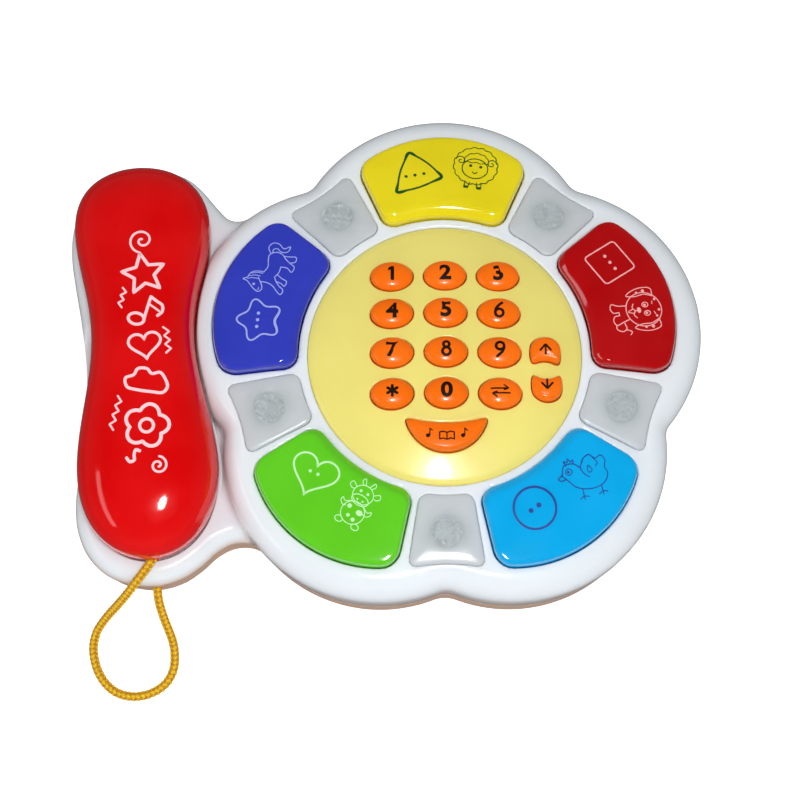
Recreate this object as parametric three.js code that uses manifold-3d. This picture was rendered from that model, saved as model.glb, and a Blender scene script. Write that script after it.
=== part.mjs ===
// Toy desk telephone: flower-shaped base with a domed number pad, five picture buttons, five light
// windows, a cradle with a separate handset, and a short tether cord. Millimetres, +Z up.
// Design frame: origin under the centre of the flower, on the surface it stands on, +Y to the back.
// The exported group is shifted so that its origin is at the middle of the footprint's box.
import * as THREE from 'three';
import { mergeVertices } from 'three/addons/utils/BufferGeometryUtils.js';
import Module from 'manifold-3d';

const wasm = await Module();
wasm.setup();

// ---------------------------------------------------------------- driving dimensions
const LOBE_D = 40, LOBE_R = 57, NOTCH_R = 8;      // five lobes: circle centres, radius, notch fillet
const LOBES = [90, 18, -54, -126, 162];           // lobe directions, degrees
const NOTCHES = [126, 54, -18, -90, -162];        // light window directions, degrees
const WALL = 2.2;
const Z_PART = 15;                                // parting plane between the base's two shells
const Z_RING = 40;                                // white ring round the number pad
const DISC_R = 49.4, DISC_EDGE_Z = 39.9, DISC_TOP_Z = 46.4;   // domed number pad
const RING_R = 53.3;                              // inner edge of the picture buttons
const PETAL_HALF = 23.3, PETAL_ARC_C = 39.5, PETAL_ARC_R = 47, PETAL_ROUND = 5;
const PETAL_TRAVEL = 2.0, KEY_TRAVEL = 1.2;
const KEY_A = 7.7, KEY_B = 5.6, KEY_PROUD = 2.7;
const KEY_X = [-19.1, 0.3, 19.6], KEY_Y = [28.6, 13.6, -1.6, -16.9];
const GAP = 0.35;                                 // running clearance round buttons
const CRADLE_TOP = 24.3, CUP_FLOOR = 18.5;
const HS = { cx: -109.62, cy: 1.375, tilt: 0.0603, L: 75.55,
  w: [365.64, -229.43, 1567.32, 491.21, 0.44, -45.46] };      // handset half-width squared over t/75
const HS_MID_Z = 33, HS_PART_Z = 31.4, HS_TOP_Z = 50.2, HS_END_TOP_Z = 48.6;
const HS_CUP_Z = CUP_FLOOR + 0.3, HS_GRIP_Z = 28.6, HS_WALL = 2.2;
const CORD_D = 3.0;
// outline of the cradle at its widest, counter-clockwise, its last points inside the flower
const CRADLE = [[-60, 50], [-68, 58.5], [-73.3, 62.2], [-76.1, 61.4], [-79.1, 61.3], [-81.8, 62.6], [-86, 67.2], [-91.6, 74.0],
  [-96.6, 78.4], [-104, 81.5], [-113, 82.3], [-123, 80.3], [-132, 74.6], [-138, 66], [-140.5, 56], [-140.4, 46],
  [-138.8, 36], [-136, 22], [-134, 10], [-132.7, -2], [-132.3, -15], [-132.8, -28], [-133.9, -40], [-134.5, -50],
  [-133.4, -60], [-129.4, -69.4], [-122, -76.8], [-112.5, -80.3], [-103.3, -80.6], [-94.5, -77.9], [-87.4, -73],
  [-82, -68], [-76.5, -65.2], [-71, -65.2], [-65, -68], [-55, -66], [-50, -50], [-50, 0]];
// centre line of the cord: out of the handset's end, over the cradle, round on the table, up to the base
const CORD = [[-104.6, -72.95, 28.0], [-106.3, -75.6, 27.6], [-108.3, -78.2, 26.8], [-110.7, -80.9, 25.2], [-113.0, -83.05, 22.4],
  [-115.98, -85.27, 18.2], [-119.02, -87.12, 13.6], [-122.1, -89.01, 9.2], [-124.8, -91.2, 5.6], [-126.9, -93.7, 3.2],
  [-127.95, -96.4, 2.0], [-128.35, -99.2, 1.7], [-128.1, -102.2, 1.7], [-126.7, -107.4, 1.7], [-123.6, -112.6, 1.7],
  [-119.2, -116.2, 1.7], [-113.2, -117.7, 1.7], [-106.9, -116.6, 1.7], [-101.7, -113.2, 1.7], [-99.0, -108.3, 1.7],
  [-98.6, -102.4, 1.7], [-99.6, -97.2, 1.8], [-101.0, -93.5, 2.4], [-102.3, -90.4, 3.5], [-103.4, -87.4, 5.1],
  [-104.2, -84.6, 6.8], [-104.7, -81.8, 8.0], [-104.9, -79.0, 8.4], [-105, -76.2, 8.4]];

// ---------------------------------------------------------------- helpers
const rad = (d) => d * Math.PI / 180;
const V2 = (x, y) => new THREE.Vector2(x, y);

function solid(geo) {
  const g = new THREE.BufferGeometry();
  g.setAttribute('position', geo.getAttribute('position').clone());
  if (geo.index) g.setIndex(geo.index.clone());
  const m = mergeVertices(g, 1e-4);
  return new wasm.Manifold(new wasm.Mesh({ numProp: 3,
    vertProperties: Float32Array.from(m.getAttribute('position').array),
    triVerts: Uint32Array.from(m.index.array) }));
}
function geometry(man) {
  const mesh = man.getMesh();
  const g = new THREE.BufferGeometry();
  g.setAttribute('position', new THREE.BufferAttribute(Float32Array.from(mesh.vertProperties), 3));
  g.setIndex(new THREE.BufferAttribute(Uint32Array.from(mesh.triVerts), 1));
  g.computeVertexNormals();
  return g;
}
// closed surface through a list of rings with equal counts, capped at both ends; `across` caps a ring that
// mirrors point i to point n/2 - i with a strip of quads
function loft(rings, across = false) {
  const n = rings[0].length, pos = [], idx = [];
  for (const r of rings) for (const p of r) pos.push(p[0], p[1], p[2]);
  for (let i = 0; i + 1 < rings.length; i++) for (let j = 0; j < n; j++) {
    const a = i * n + j, b = i * n + (j + 1) % n, c = b + n, d = a + n;
    idx.push(a, b, c, a, c, d);
  }
  const cap = (k, up) => {
    if (across) {
      const w = (i) => k * n + ((i % n) + n) % n, q = n / 4, h = n / 2;
      for (let i = -q; i < q; i++) {
        const a = w(i), b = w(i + 1), c = w(h - i - 1), d = w(h - i);
        if (i + 1 < q) idx.push(...(up ? [a, b, c] : [a, c, b]));
        if (i > -q) idx.push(...(up ? [a, c, d] : [a, d, c]));
      }
      return;
    }
    const ring = rings[k].map((p) => V2(p[0], p[1]));
    for (const f of THREE.ShapeUtils.triangulateShape(ring, [])) {
      const [p, q, r] = f.map((v) => ring[v]);
      const ccw = (q.x - p.x) * (r.y - p.y) - (q.y - p.y) * (r.x - p.x) > 0;
      const [s, t, u] = (ccw === up) ? [f[0], f[1], f[2]] : [f[0], f[2], f[1]];
      idx.push(k * n + s, k * n + t, k * n + u);
    }
  };
  cap(0, false); cap(rings.length - 1, true);
  const g = new THREE.BufferGeometry();
  g.setAttribute('position', new THREE.Float32BufferAttribute(pos, 3));
  g.setIndex(idx);
  g.computeVertexNormals();
  return g;
}
const box = (x0, x1, y0, y1, z0, z1) =>
  new THREE.BoxGeometry(x1 - x0, y1 - y0, z1 - z0).translate((x0 + x1) / 2, (y0 + y1) / 2, (z0 + z1) / 2);
const cyl = (r, z0, z1, x = 0, y = 0, n = 16) =>
  new THREE.CylinderGeometry(r, r, z1 - z0, n).rotateX(Math.PI / 2).translate(x, y, (z0 + z1) / 2);
// turned piece along +Z from [radius, height] pairs that start and end on the axis
const turned = (pts, x = 0, y = 0, n = 12) =>
  new THREE.LatheGeometry(pts.map((p) => V2(p[0], p[1])), n).rotateX(Math.PI / 2).translate(x, y, 0);
const at = (ring, z) => ring.map((p) => [p[0], p[1], typeof z === 'function' ? z(p[0], p[1]) : z]);
const turn = (ring, deg) => {
  const c = Math.cos(rad(deg)), s = Math.sin(rad(deg));
  return ring.map((p) => [c * p[0] - s * p[1], s * p[0] + c * p[1], ...p.slice(2)]);
};
const circle = (r, n, x = 0, y = 0) => Array.from({ length: n }, (_, i) =>
  [x + r * Math.cos(2 * Math.PI * i / n), y + r * Math.sin(2 * Math.PI * i / n)]);

// rounded intersection of signed distances, then the ring where it equals -inset, seen from (cx, cy)
const meet = (ds, r) => Math.min(-r, Math.max(...ds)) + Math.hypot(...ds.map((d) => Math.max(r + d, 0)));
function levelRing(f, cx, cy, inset, n, far = 60) {
  const out = [];
  for (let i = 0; i < n; i++) {
    const a = 2 * Math.PI * i / n, c = Math.cos(a), s = Math.sin(a);
    let lo = 0, hi = far;
    for (let k = 0; k < 40; k++) {
      const m = (lo + hi) / 2;
      if (f(cx + c * m, cy + s * m) < -inset) lo = m; else hi = m;
    }
    out.push([cx + c * lo, cy + s * lo]);
  }
  return out;
}

// ---------------------------------------------------------------- outlines
function flowerR(theta, inset) {
  let best = 1e9;
  for (const a of LOBES) {
    let d = Math.abs(((theta - rad(a)) % (2 * Math.PI) + 3 * Math.PI) % (2 * Math.PI) - Math.PI);
    best = Math.min(best, d);
  }
  const R = LOBE_R - inset, f = NOTCH_R + inset, D = Math.cos(rad(36)) * LOBE_D +
    Math.sqrt((LOBE_R + NOTCH_R) ** 2 - (Math.sin(rad(36)) * LOBE_D) ** 2);
  const fx = D * Math.cos(rad(36)), fy = D * Math.sin(rad(36));
  const k = R / (LOBE_R + NOTCH_R);
  const tangent = Math.atan2(fy * k, LOBE_D + (fx - LOBE_D) * k);
  if (best <= tangent) return LOBE_D * Math.cos(best) + Math.sqrt(R * R - (LOBE_D * Math.sin(best)) ** 2);
  const psi = rad(36) - best;
  return D * Math.cos(psi) - Math.sqrt(Math.max(f * f - (D * Math.sin(psi)) ** 2, 0));
}
const N_FLOWER = 60;
const flowerRing = (inset, z, n = N_FLOWER) => Array.from({ length: n }, (_, i) => {
  const t = 2 * Math.PI * i / n, r = flowerR(t, inset);
  return [r * Math.cos(t), r * Math.sin(t), z];
});
const cradleCurve = new THREE.CatmullRomCurve3(CRADLE.map((p) => new THREE.Vector3(p[0], p[1], 0)), true, 'centripetal');
const N_CRADLE = 44;
const cradleRing = (inset, z, n = N_CRADLE) => Array.from({ length: n }, (_, i) => {
  const p = cradleCurve.getPointAt(i / n), t = cradleCurve.getTangentAt(i / n);
  return [p.x - t.y * inset, p.y + t.x * inset, z];
});
// picture button in its own frame, +Y outwards
const petalF = (x, y, inner = 0, outer = 0) => {
  const phi = rad(PETAL_HALF), r = Math.hypot(x, y);
  return meet([RING_R + inner - r, Math.abs(x) * Math.cos(phi) - y * Math.sin(phi) - outer,
    Math.hypot(x, y - PETAL_ARC_C) - PETAL_ARC_R - outer], PETAL_ROUND);
};
const petalRing = (inset, n = 20, inner = 0) => levelRing((x, y) => petalF(x, y, inner), 0, 70, inset, n);
// light window in its own frame, +Y outwards
const lensF = (x, y) => {
  const k = 0.161, c = Math.cos(Math.atan(k)), s = Math.sin(Math.atan(k));
  return meet([53.4 - Math.hypot(x, y), (Math.abs(x) - 9.75) * c - (y - 55) * s, 61 - Math.hypot(x, y - 138.6)], 2.6);
};
const lensRing = (inset, n = 16) => levelRing(lensF, 0, 66, inset, n);
const ellipseRing = (a, b, x, y, n) => Array.from({ length: n }, (_, i) => {
  const t = 2 * Math.PI * (i + 0.5) / n;
  return [x + a * Math.cos(t), y + b * Math.sin(t)];
});
const upF = (x, y) => meet([Math.abs(x - 36.2) - 5.7, Math.hypot(x - 36.2, y + 1.3) - 6.05, 7.9 - Math.hypot(x - 36.2, y + 12.0)], 1.1);
const downF = (x, y) => meet([Math.abs(x - 36.5) - 5.7, Math.hypot(x - 36.5, y + 13.1) - 6.05, 7.9 - Math.hypot(x - 36.5, y + 3.1)], 1.1);
const smileF = (x, y) => meet([Math.hypot(x - 0.3, y + 23.05) - 15.05, 51.2 - Math.hypot(x - 0.3, y - 23.4)], 1.6);
// handset: ring at factor k between its long axis (0) and its outline (1), grown by `grow`
const hsHalf = (t) => {
  const x = t / 75, w = HS.w;
  return Math.sqrt(Math.max((1 - (t / HS.L) ** 2) *
    (w[0] + w[1] * x + w[2] * x * x + w[3] * x ** 3 + w[4] * x ** 4 + w[5] * x ** 6), 0));
};
const hsWorld = (u, t) => [HS.cx + u * Math.cos(HS.tilt) - t * Math.sin(HS.tilt), HS.cy + u * Math.sin(HS.tilt) + t * Math.cos(HS.tilt)];
const N_HS = 28;
const hsOutline = Array.from({ length: N_HS }, (_, i) => {       // [u, t], counter-clockwise
  const a = 2 * Math.PI * i / N_HS, t = HS.L * Math.sin(a);
  return [Math.sign(Math.cos(a)) * (Math.abs(Math.cos(a)) < 1e-9 ? 0 : hsHalf(t)), t];
});
function hsRing(k, z, grow = 0) {
  return hsOutline.map(([u, t], i) => {
    const p = hsOutline[(i + N_HS - 1) % N_HS], q = hsOutline[(i + 1) % N_HS];
    const tx = q[0] - p[0], ty = q[1] - p[1], l = Math.hypot(tx, ty);
    const s = Math.max(-51, Math.min(51, t));                    // nearest point of the long axis
    const uu = u * k + grow * ty / l, tt = s + (t - s) * k - grow * tx / l;
    const [x, y] = hsWorld(uu, tt);
    return [x, y, typeof z === 'function' ? z(tt) : z];
  });
}
const step01 = (a, b, x) => { const s = Math.max(0, Math.min(1, (x - a) / (b - a))); return s * s * (3 - 2 * s); };
const hsTop = (t) => HS_TOP_Z - (HS_TOP_Z - HS_END_TOP_Z) * (t / 60) ** 2;
const hsUnder = (t) => HS_GRIP_Z - (HS_GRIP_Z - HS_CUP_Z) * step01(20, 36, Math.abs(t));

// ---------------------------------------------------------------- base, both shells
const rise = (r) => DISC_TOP_Z - (DISC_TOP_Z - DISC_EDGE_Z) * (r / DISC_R) ** 2;   // dome height of the number pad
const petals = LOBES.map((a) => a - 90), windows = NOTCHES.map((a) => a - 90);
const screwAt = LOBES.map((a) => [83.6 * Math.cos(rad(a - 23.5)), 83.6 * Math.sin(rad(a - 23.5))])
  .concat([[-106.5, -38], [-112.5, 42]]);

const topOuter = solid(loft([flowerRing(1.6, Z_PART + 0.2), flowerRing(0.5, 23), flowerRing(0, 29), flowerRing(0.8, 32.6),
  flowerRing(3, 35.5), at(flowerRing(7, 0), 37.6), at(circle(55, N_FLOWER), Z_RING)]))
  .add(solid(loft([cradleRing(0.9, Z_PART + 0.2), cradleRing(0.1, 19), cradleRing(1.7, 22.6), cradleRing(5, CRADLE_TOP)])));
const clearOfHandset = (g, z0, k = 1) => solid(loft([hsRing(k, z0, g), hsRing(1, 34, g), hsRing(1, 60, g)]));
const inner = solid(loft([flowerRing(1.6 + WALL, Z_PART - 1, 30), flowerRing(WALL + 0.5, 28, 30), flowerRing(4.4, 32.4, 30),
  flowerRing(8.5, 35.0, 30), at(circle(55, 30), Z_RING - WALL)]))
  .subtract(clearOfHandset(3.2, 14))
  .add(solid(loft([cradleRing(0.9 + WALL, Z_PART - 1, 30), cradleRing(WALL + 0.6, 16.2, 30)])));
let top = topOuter.subtract(inner)
  .subtract(clearOfHandset(0.9, 25, 0.97))
  .subtract(solid(loft([hsRing(0.93, CUP_FLOOR), hsRing(0.98, 27)])))
  .subtract(solid(box(-150, -112, -22, 16, CUP_FLOOR, 30)))
  .subtract(solid(cyl(DISC_R + 0.45, 30, 50, 0, 0, 36)));
petals.forEach((a) => { top = top.subtract(solid(loft([at(turn(petalRing(-0.4), a), 30), at(turn(petalRing(-0.4), a), 50)]))); });
windows.forEach((a) => { top = top.subtract(solid(loft([at(turn(lensRing(-0.25), a), 30), at(turn(lensRing(-0.25), a), 50)]))); });
screwAt.forEach(([x, y], i) => {
  const roof = i < 5 ? 34.5 : 17.2, foot = i < 5 ? 15.4 : 9.4;
  top = top.add(solid(cyl(2.6, foot, roof, x, y, 8))).subtract(solid(cyl(1.5, foot - 1, roof - (i < 5 ? 4 : 2), x, y, 6)));
});
const baseTopShell = geometry(top);

let bottom = solid(loft([flowerRing(4.4, 0), flowerRing(3.2, 1.2), flowerRing(1.6, Z_PART - 0.15)]))
  .add(solid(loft([cradleRing(3.4, 0), cradleRing(2.4, 1.2), cradleRing(0.9, Z_PART - 0.15)])))
  .subtract(solid(loft([flowerRing(3.2 + WALL, WALL, 30), flowerRing(1.6 + WALL + 0.3, Z_PART + 1, 30)])))
  .subtract(solid(loft([cradleRing(2.4 + WALL, WALL, 30), cradleRing(0.9 + WALL, Z_PART + 1, 30)])));
bottom = bottom.add(solid(box(-33, 33, -50.6, 1.6, 0.8, 19.6)))                 // battery box
  .subtract(solid(box(-31, 31, -48.6, -0.4, 2.3, 17.6)))
  .subtract(solid(box(-29, 29, -46.6, -2.4, -1, 3)));
screwAt.forEach(([x, y], i) => {
  bottom = bottom.add(solid(cyl(3.3, 0.6, i < 5 ? 14.9 : 9.0, x, y, 8)))
    .subtract(solid(cyl(2.7, -1, 5.0, x, y, 8))).subtract(solid(cyl(1.8, 0, 16, x, y, 6)));
});
for (const y of [30, 36, 42, 48, 54, 60]) {                                    // speaker slots
  const h = Math.sqrt(18 ** 2 - (y - 45) ** 2);
  bottom = bottom.subtract(solid(box(-h, h, y - 1.2, y + 1.2, -1, 4)));
}
bottom = bottom.subtract(solid(box(47, 61, 18, 23, -1, 4)))                    // switch slot
  .subtract(solid(box(45, 63, 16.5, 24.5, -1, 1.0)));
const cordHole = new THREE.CylinderGeometry(1.95, 1.95, 12, 12).translate(-105, -78, 8.4);
bottom = bottom.subtract(solid(cordHole));
bottom = bottom.subtract(solid(box(-5.4, 5.4, -57.2, -46, -1, 2.25)))          // tab of the battery cover and its screw post
  .add(solid(box(-6.5, 6.5, -58.4, -50.4, 2.25, 8.8))).subtract(solid(cyl(1.7, 0, 12, 0, -53.6, 10)));
const baseBottomShell = geometry(bottom);

// ---------------------------------------------------------------- number pad and its keys
const N_DISC = 30;
let bezel = solid(loft([
  at(circle(16, N_DISC), rise(10) - 2.2), at(circle(34, N_DISC), rise(34) - 2.2),
  at(circle(DISC_R - 2.2, N_DISC), (x, y) => rise(Math.hypot(x, y)) - 2.2),
  at(circle(DISC_R - 2.2, N_DISC), 34.4), at(circle(52.6, N_DISC), 34.4), at(circle(52.6, N_DISC), 36.2), at(circle(DISC_R, N_DISC), 36.2),
  at(circle(DISC_R, N_DISC), DISC_EDGE_Z), at(circle(DISC_R - 1.5, N_DISC), rise(DISC_R - 1.5) + 0.4),
  at(circle(34, N_DISC), rise(34)), at(circle(16, N_DISC), rise(12))]));
const keys = [];
const ovals = [['1', 0, 0], ['2', 1, 0], ['3', 2, 0], ['4', 0, 1], ['5', 1, 1], ['6', 2, 1], ['7', 0, 2], ['8', 1, 2], ['9', 2, 2],
  ['star', 0, 3], ['0', 1, 3], ['mode', 2, 3]];
function key(name, ringAt, x, y) {
  const z = rise(Math.hypot(x, y));
  const low = rise(Math.hypot(x, y) + 8) - 2.2 - 0.4;            // under the dome's lowest point round the key
  bezel = bezel.subtract(solid(loft([at(ringAt(-GAP), 30), at(ringAt(-GAP), 55)])));
  keys.push([name, loft([at(ringAt(-1.1), 32.4), at(ringAt(-1.1), low - 0.6), at(ringAt(0), low), at(ringAt(0), z + KEY_PROUD - 1.5),
    at(ringAt(1.6), z + KEY_PROUD)])]);
}
for (const [n, i, j] of ovals) {
  const x = KEY_X[i], y = KEY_Y[j];
  key('key_' + n, (inset) => ellipseRing(KEY_A - inset, KEY_B - inset, x, y, 12), x, y);
}
key('key_up', (inset) => levelRing(upF, 36.2, -1, inset, 12, 20), 36.2, -0.5);
key('key_down', (inset) => levelRing(downF, 36.5, -13.6, inset, 12, 20), 36.5, -14);
key('key_smile', (inset) => levelRing(smileF, 0.3, -32, inset * 0.85, 18, 30), 0.3, -32);
const keypadBezel = geometry(bezel);

// ---------------------------------------------------------------- picture buttons and light windows
const petalZ = (x, y) => 44.4 - 3.2 * (Math.hypot(x, y) - 57) / 29;
const petalButton = (a) => loft([
  at(petalRing(3.2), (x, y) => petalZ(x, y) - 2.6), at(petalRing(2.2), 33.0), at(petalRing(-0.6), 33.0), at(petalRing(-0.6), 34.2),
  at(petalRing(0), 34.4), at(petalRing(0), (x, y) => petalZ(x, y) - 3.0), at(petalRing(0.9, 20, 1.2), (x, y) => petalZ(x, y) - 1.0),
  at(petalRing(2.6, 20, 2.4), (x, y) => petalZ(x, y))].map((r) => turn(r, a)));
const lensZ = (x, y) => 40.9 - 2.2 * (Math.hypot(x, y) - 53) / 27;
const lightLens = (a) => loft([
  at(lensRing(0.25), 36.0), at(lensRing(0.05), (x, y) => lensZ(x, y) - 0.9), at(lensRing(1.0), (x, y) => lensZ(x, y) - 0.1),
  at(lensRing(3.2), (x, y) => lensZ(x, y) + 0.5)].map((r) => turn(r, a)));

// ---------------------------------------------------------------- handset
const N_K = [[1, 0], [0.95, 0.42], [0.8, 0.75], [0.52, 0.94], [0.18, 1]];
const backShell = solid(loft([hsRing(1, HS_PART_Z + 0.3), hsRing(1, HS_MID_Z + 1),
  ...N_K.slice(1).map(([k, g]) => hsRing(k, (t) => HS_MID_Z + 1 + (hsTop(t) - HS_MID_Z - 1) * g))], true))
  .subtract(solid(loft([hsRing(1, HS_PART_Z - 1, -HS_WALL), hsRing(1, HS_MID_Z + 1, -HS_WALL),
    hsRing(0.74, (t) => HS_MID_Z + 1 + (hsTop(t) - HS_MID_Z - 1) * 0.68),
    hsRing(0.3, (t) => HS_MID_Z + (hsTop(t) - HS_MID_Z) * 0.86)], true)));
const under = (k, g) => hsRing(k, (t) => HS_PART_Z - (HS_PART_Z - hsUnder(t)) * g);
let frontShell = solid(loft([under(0.3, 1), under(0.78, 0.97), under(0.93, 0.52), hsRing(1, HS_PART_Z)], true))
  .subtract(solid(loft([hsRing(0.25, (t) => hsUnder(t) + 2), hsRing(0.72, (t) => HS_PART_Z - (HS_PART_Z - hsUnder(t)) * 0.6),
    hsRing(1, HS_PART_Z + 1, -HS_WALL)], true)));
let back = backShell;
const hsScrews = [[0, 50], [0, -46]].map(([u, t]) => [...hsWorld(u, t)]);
hsScrews.forEach(([x, y]) => {
  frontShell = frontShell.add(solid(cyl(3.8, HS_CUP_Z + 0.4, 27, x, y, 8)))
    .subtract(solid(cyl(2.7, HS_CUP_Z - 1, HS_CUP_Z + 3.2, x, y, 8))).subtract(solid(cyl(1.7, HS_CUP_Z, 30, x, y, 6)));
  back = back.add(solid(cyl(2.8, 27.4, 47, x, y, 8))).subtract(solid(cyl(1.5, 26, 40, x, y, 6)));
});
const ears = [0, 60, 120, 180, 240, 300];                        // sound holes of the ear end
ears.forEach((a) => {
  const [x, y] = hsWorld(9 * Math.cos(rad(a)), 50 + 9 * Math.sin(rad(a)));
  frontShell = frontShell.subtract(solid(cyl(1.3, 15, 24, x, y, 6)));
});
const [tipX, tipY] = [-104.6, -70];
frontShell = frontShell.subtract(solid(new THREE.CylinderGeometry(1.95, 1.95, 16, 12).translate(tipX, tipY, 28.0)));
const handsetBack = geometry(back), handsetFront = geometry(frontShell);

// ---------------------------------------------------------------- inside pieces
const MAT_TOP = 30.6;
let mat = solid(cyl(76, 27.9, 29.1, 0, 0, 24)).add(solid(cyl(43, 28.5, MAT_TOP, 0, 0, 20)));
windows.forEach((a) => { const [x, y] = turn([[0, 65]], a)[0]; mat = mat.subtract(solid(cyl(5, 26, 33, x, y, 8))); });
petals.forEach((a) => { const [x, y] = turn([[0, 66]], a)[0]; mat = mat.add(solid(cyl(5, 28.5, MAT_TOP, x, y, 8))); });
const pcb = cyl(77, 26, 27.6, 0, 0, 24);
const speaker = turned([[0, 2.6], [17.5, 2.6], [19.8, 4.4], [19.8, 5.6], [12, 9.2], [12, 14.4], [0, 14.4]], 0, 45, 16);
const battery = (y, flip) => {
  const g = new THREE.LatheGeometry([[0, -25.2], [7, -25.2], [7, 24], [2.7, 24], [2.7, 25.2], [0, 25.2]].map((p) => V2(...p)), 10);
  return g.rotateZ(flip ? Math.PI / 2 : -Math.PI / 2).translate(0, y, 10);
};
const CONTACT_Y = [-45.5, -3.5];
const contactPlus = box(27.2, 27.8, CONTACT_Y[0], CONTACT_Y[1], 3.4, 16.4);
const contactSpring = box(-27.8, -27.2, CONTACT_Y[0], CONTACT_Y[1], 3.4, 16.4);
const cover = solid(box(-28.6, 28.6, -46.2, -2.8, 0, 1.9)).add(solid(box(-5, 5, -56.8, -45, 0, 1.9)))
  .subtract(solid(cyl(2.1, -1, 4, 0, -53.6, 12)));
const screw = (z, len, x, y, head = 2.3) => turned([[0, z], [head, z], [head, z + 1.7], [1.1, z + 2.1], [1.1, z + len], [0, z + len + 0.8]], x, y, 8);
const led = (a) => { const [x, y] = turn([[0, 65]], a)[0]; return turned([[0, 27.9], [2.9, 27.9], [2.9, 29], [2.5, 29], [2.5, 32.6], [0, 34.6]], x, y, 8); };
const switchKnob = solid(box(44, 57.6, 16.9, 24.1, 2.5, 3.6)).add(solid(box(47.6, 53, 18.4, 22.6, 0.5, 3.0)));
const knot = (x, y, z) => new THREE.SphereGeometry(3.2, 8, 5).scale(1, 0.85, 0.9).translate(x, y, z);
const cordCurve = new THREE.CatmullRomCurve3(CORD.map((p) => new THREE.Vector3(...p)), false, 'centripetal');
const cordShape = new THREE.Shape(circle(CORD_D / 2, 8).map((p) => V2(...p)));
const cord = new THREE.ExtrudeGeometry(cordShape, { steps: 40, extrudePath: cordCurve, bevelEnabled: false });

// ---------------------------------------------------------------- scene graph
const WHITE = 0xf4f4f2, RED = 0xd00708, ORANGE = 0xfa6e05, YELLOW = 0xe8df78, CORDC = 0xe1a514;
const look = (color, roughness = 0.2, metalness = 0) => new THREE.MeshStandardMaterial({ color, roughness, metalness });
const phone = new THREE.Group();
const add = (name, geo, material) => { const m = new THREE.Mesh(geo, material); m.name = name; phone.add(m); return m; };

add('base_top_shell', baseTopShell, look(WHITE));
add('base_bottom_shell', baseBottomShell, look(0xeeeeea, 0.35));
add('keypad_bezel', keypadBezel, look(YELLOW));
const petalNames = ['yellow', 'red', 'blue', 'green', 'purple'], petalCol = [0xdad135, 0xa3090c, 0x0ba6e0, 0x5fca24, 0x3945af];
petals.forEach((a, i) => add('petal_button_' + petalNames[i], petalButton(a), look(petalCol[i], 0.15)));
windows.forEach((a, i) => add('light_lens_' + (i + 1), lightLens(a), look(0xdfe2e6, 0.3)));
keys.forEach(([n, g]) => add(n, g, look(ORANGE, 0.25)));
add('keypad_rubber_mat', geometry(mat), look(0x55585c, 0.8));
add('main_pcb', pcb, look(0x1f6b3a, 0.5));
windows.forEach((a, i) => add('led_' + (i + 1), led(a), look(0xff4030, 0.2)));
add('speaker', speaker, look(0x303236, 0.5, 0.4));
[[-39.9, 0], [-24.6, 1], [-9.3, 0]].forEach(([y, f], i) => add('battery_' + (i + 1), battery(y, f), look(0x2d6b4f, 0.4, 0.3)));
add('battery_contact_plus', contactPlus, look(0xc8ccd0, 0.3, 1));
add('battery_contact_spring', contactSpring, look(0xc8ccd0, 0.3, 1));
add('battery_cover', geometry(cover), look(0xeeeeea, 0.35));
add('battery_cover_screw', screw(0.25, 6, 0, -53.6, 1.7), look(0xaab0b5, 0.35, 1));
screwAt.forEach(([x, y], i) => add('case_screw_' + (i + 1), screw(2.6, i < 5 ? 18 : 10, x, y), look(0xaab0b5, 0.35, 1)));
add('power_switch', geometry(switchKnob), look(0x2b2d30, 0.5));
add('handset_back_shell', handsetBack, look(RED, 0.12));
add('handset_front_shell', handsetFront, look(RED, 0.12));
hsScrews.forEach(([x, y], i) => add('handset_screw_' + (i + 1), screw(HS_CUP_Z + 1.2, 16, x, y), look(0xaab0b5, 0.35, 1)));
add('tether_cord', cord, look(CORDC, 0.7));
add('cord_knot_handset', knot(tipX, -65.6, 27.6), look(CORDC, 0.7));
add('cord_knot_base', knot(-105, -73.0, 8.4), look(CORDC, 0.7));

// origin at the middle of the object's footprint, the cord and its knots left out
const bounds = new THREE.Box3();
for (const m of phone.children) if (!/cord/.test(m.name)) bounds.union(new THREE.Box3().setFromObject(m));
phone.position.set(-(bounds.min.x + bounds.max.x) / 2, -(bounds.min.y + bounds.max.y) / 2, -bounds.min.z);
phone.updateMatrixWorld(true);
export default phone;
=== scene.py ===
import bpy, bmesh, math
import numpy as np
from mathutils import Vector, Matrix
from mathutils.geometry import delaunay_2d_cdt


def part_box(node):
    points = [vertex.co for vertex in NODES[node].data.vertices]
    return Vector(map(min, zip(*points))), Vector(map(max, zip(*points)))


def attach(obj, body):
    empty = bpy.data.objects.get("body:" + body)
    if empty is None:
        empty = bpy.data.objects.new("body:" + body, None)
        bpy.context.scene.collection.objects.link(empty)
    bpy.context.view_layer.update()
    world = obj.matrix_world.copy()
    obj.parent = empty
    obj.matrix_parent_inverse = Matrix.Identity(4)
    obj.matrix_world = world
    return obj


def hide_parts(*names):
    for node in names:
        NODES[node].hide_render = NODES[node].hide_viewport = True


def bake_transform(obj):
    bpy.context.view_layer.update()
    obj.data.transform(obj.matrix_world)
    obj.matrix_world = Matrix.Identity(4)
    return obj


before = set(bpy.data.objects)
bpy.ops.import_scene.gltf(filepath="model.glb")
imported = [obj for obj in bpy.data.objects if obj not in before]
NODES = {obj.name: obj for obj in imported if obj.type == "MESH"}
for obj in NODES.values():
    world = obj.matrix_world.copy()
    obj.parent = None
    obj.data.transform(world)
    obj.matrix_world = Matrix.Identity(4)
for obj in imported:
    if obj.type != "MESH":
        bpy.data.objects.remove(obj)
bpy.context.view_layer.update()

# ------------------------------------------------------------------ frame: design millimetres -> row frame metres
_lo, _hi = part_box("keypad_bezel")
SX, SY = (_lo.x + _hi.x) / 2, (_lo.y + _hi.y) / 2


def row(p):
    """design-frame millimetres (origin under the flower's centre) to row-frame metres"""
    p = np.asarray(p, float)
    return p * 0.001 + np.array([SX, SY, 0.0])


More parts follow.
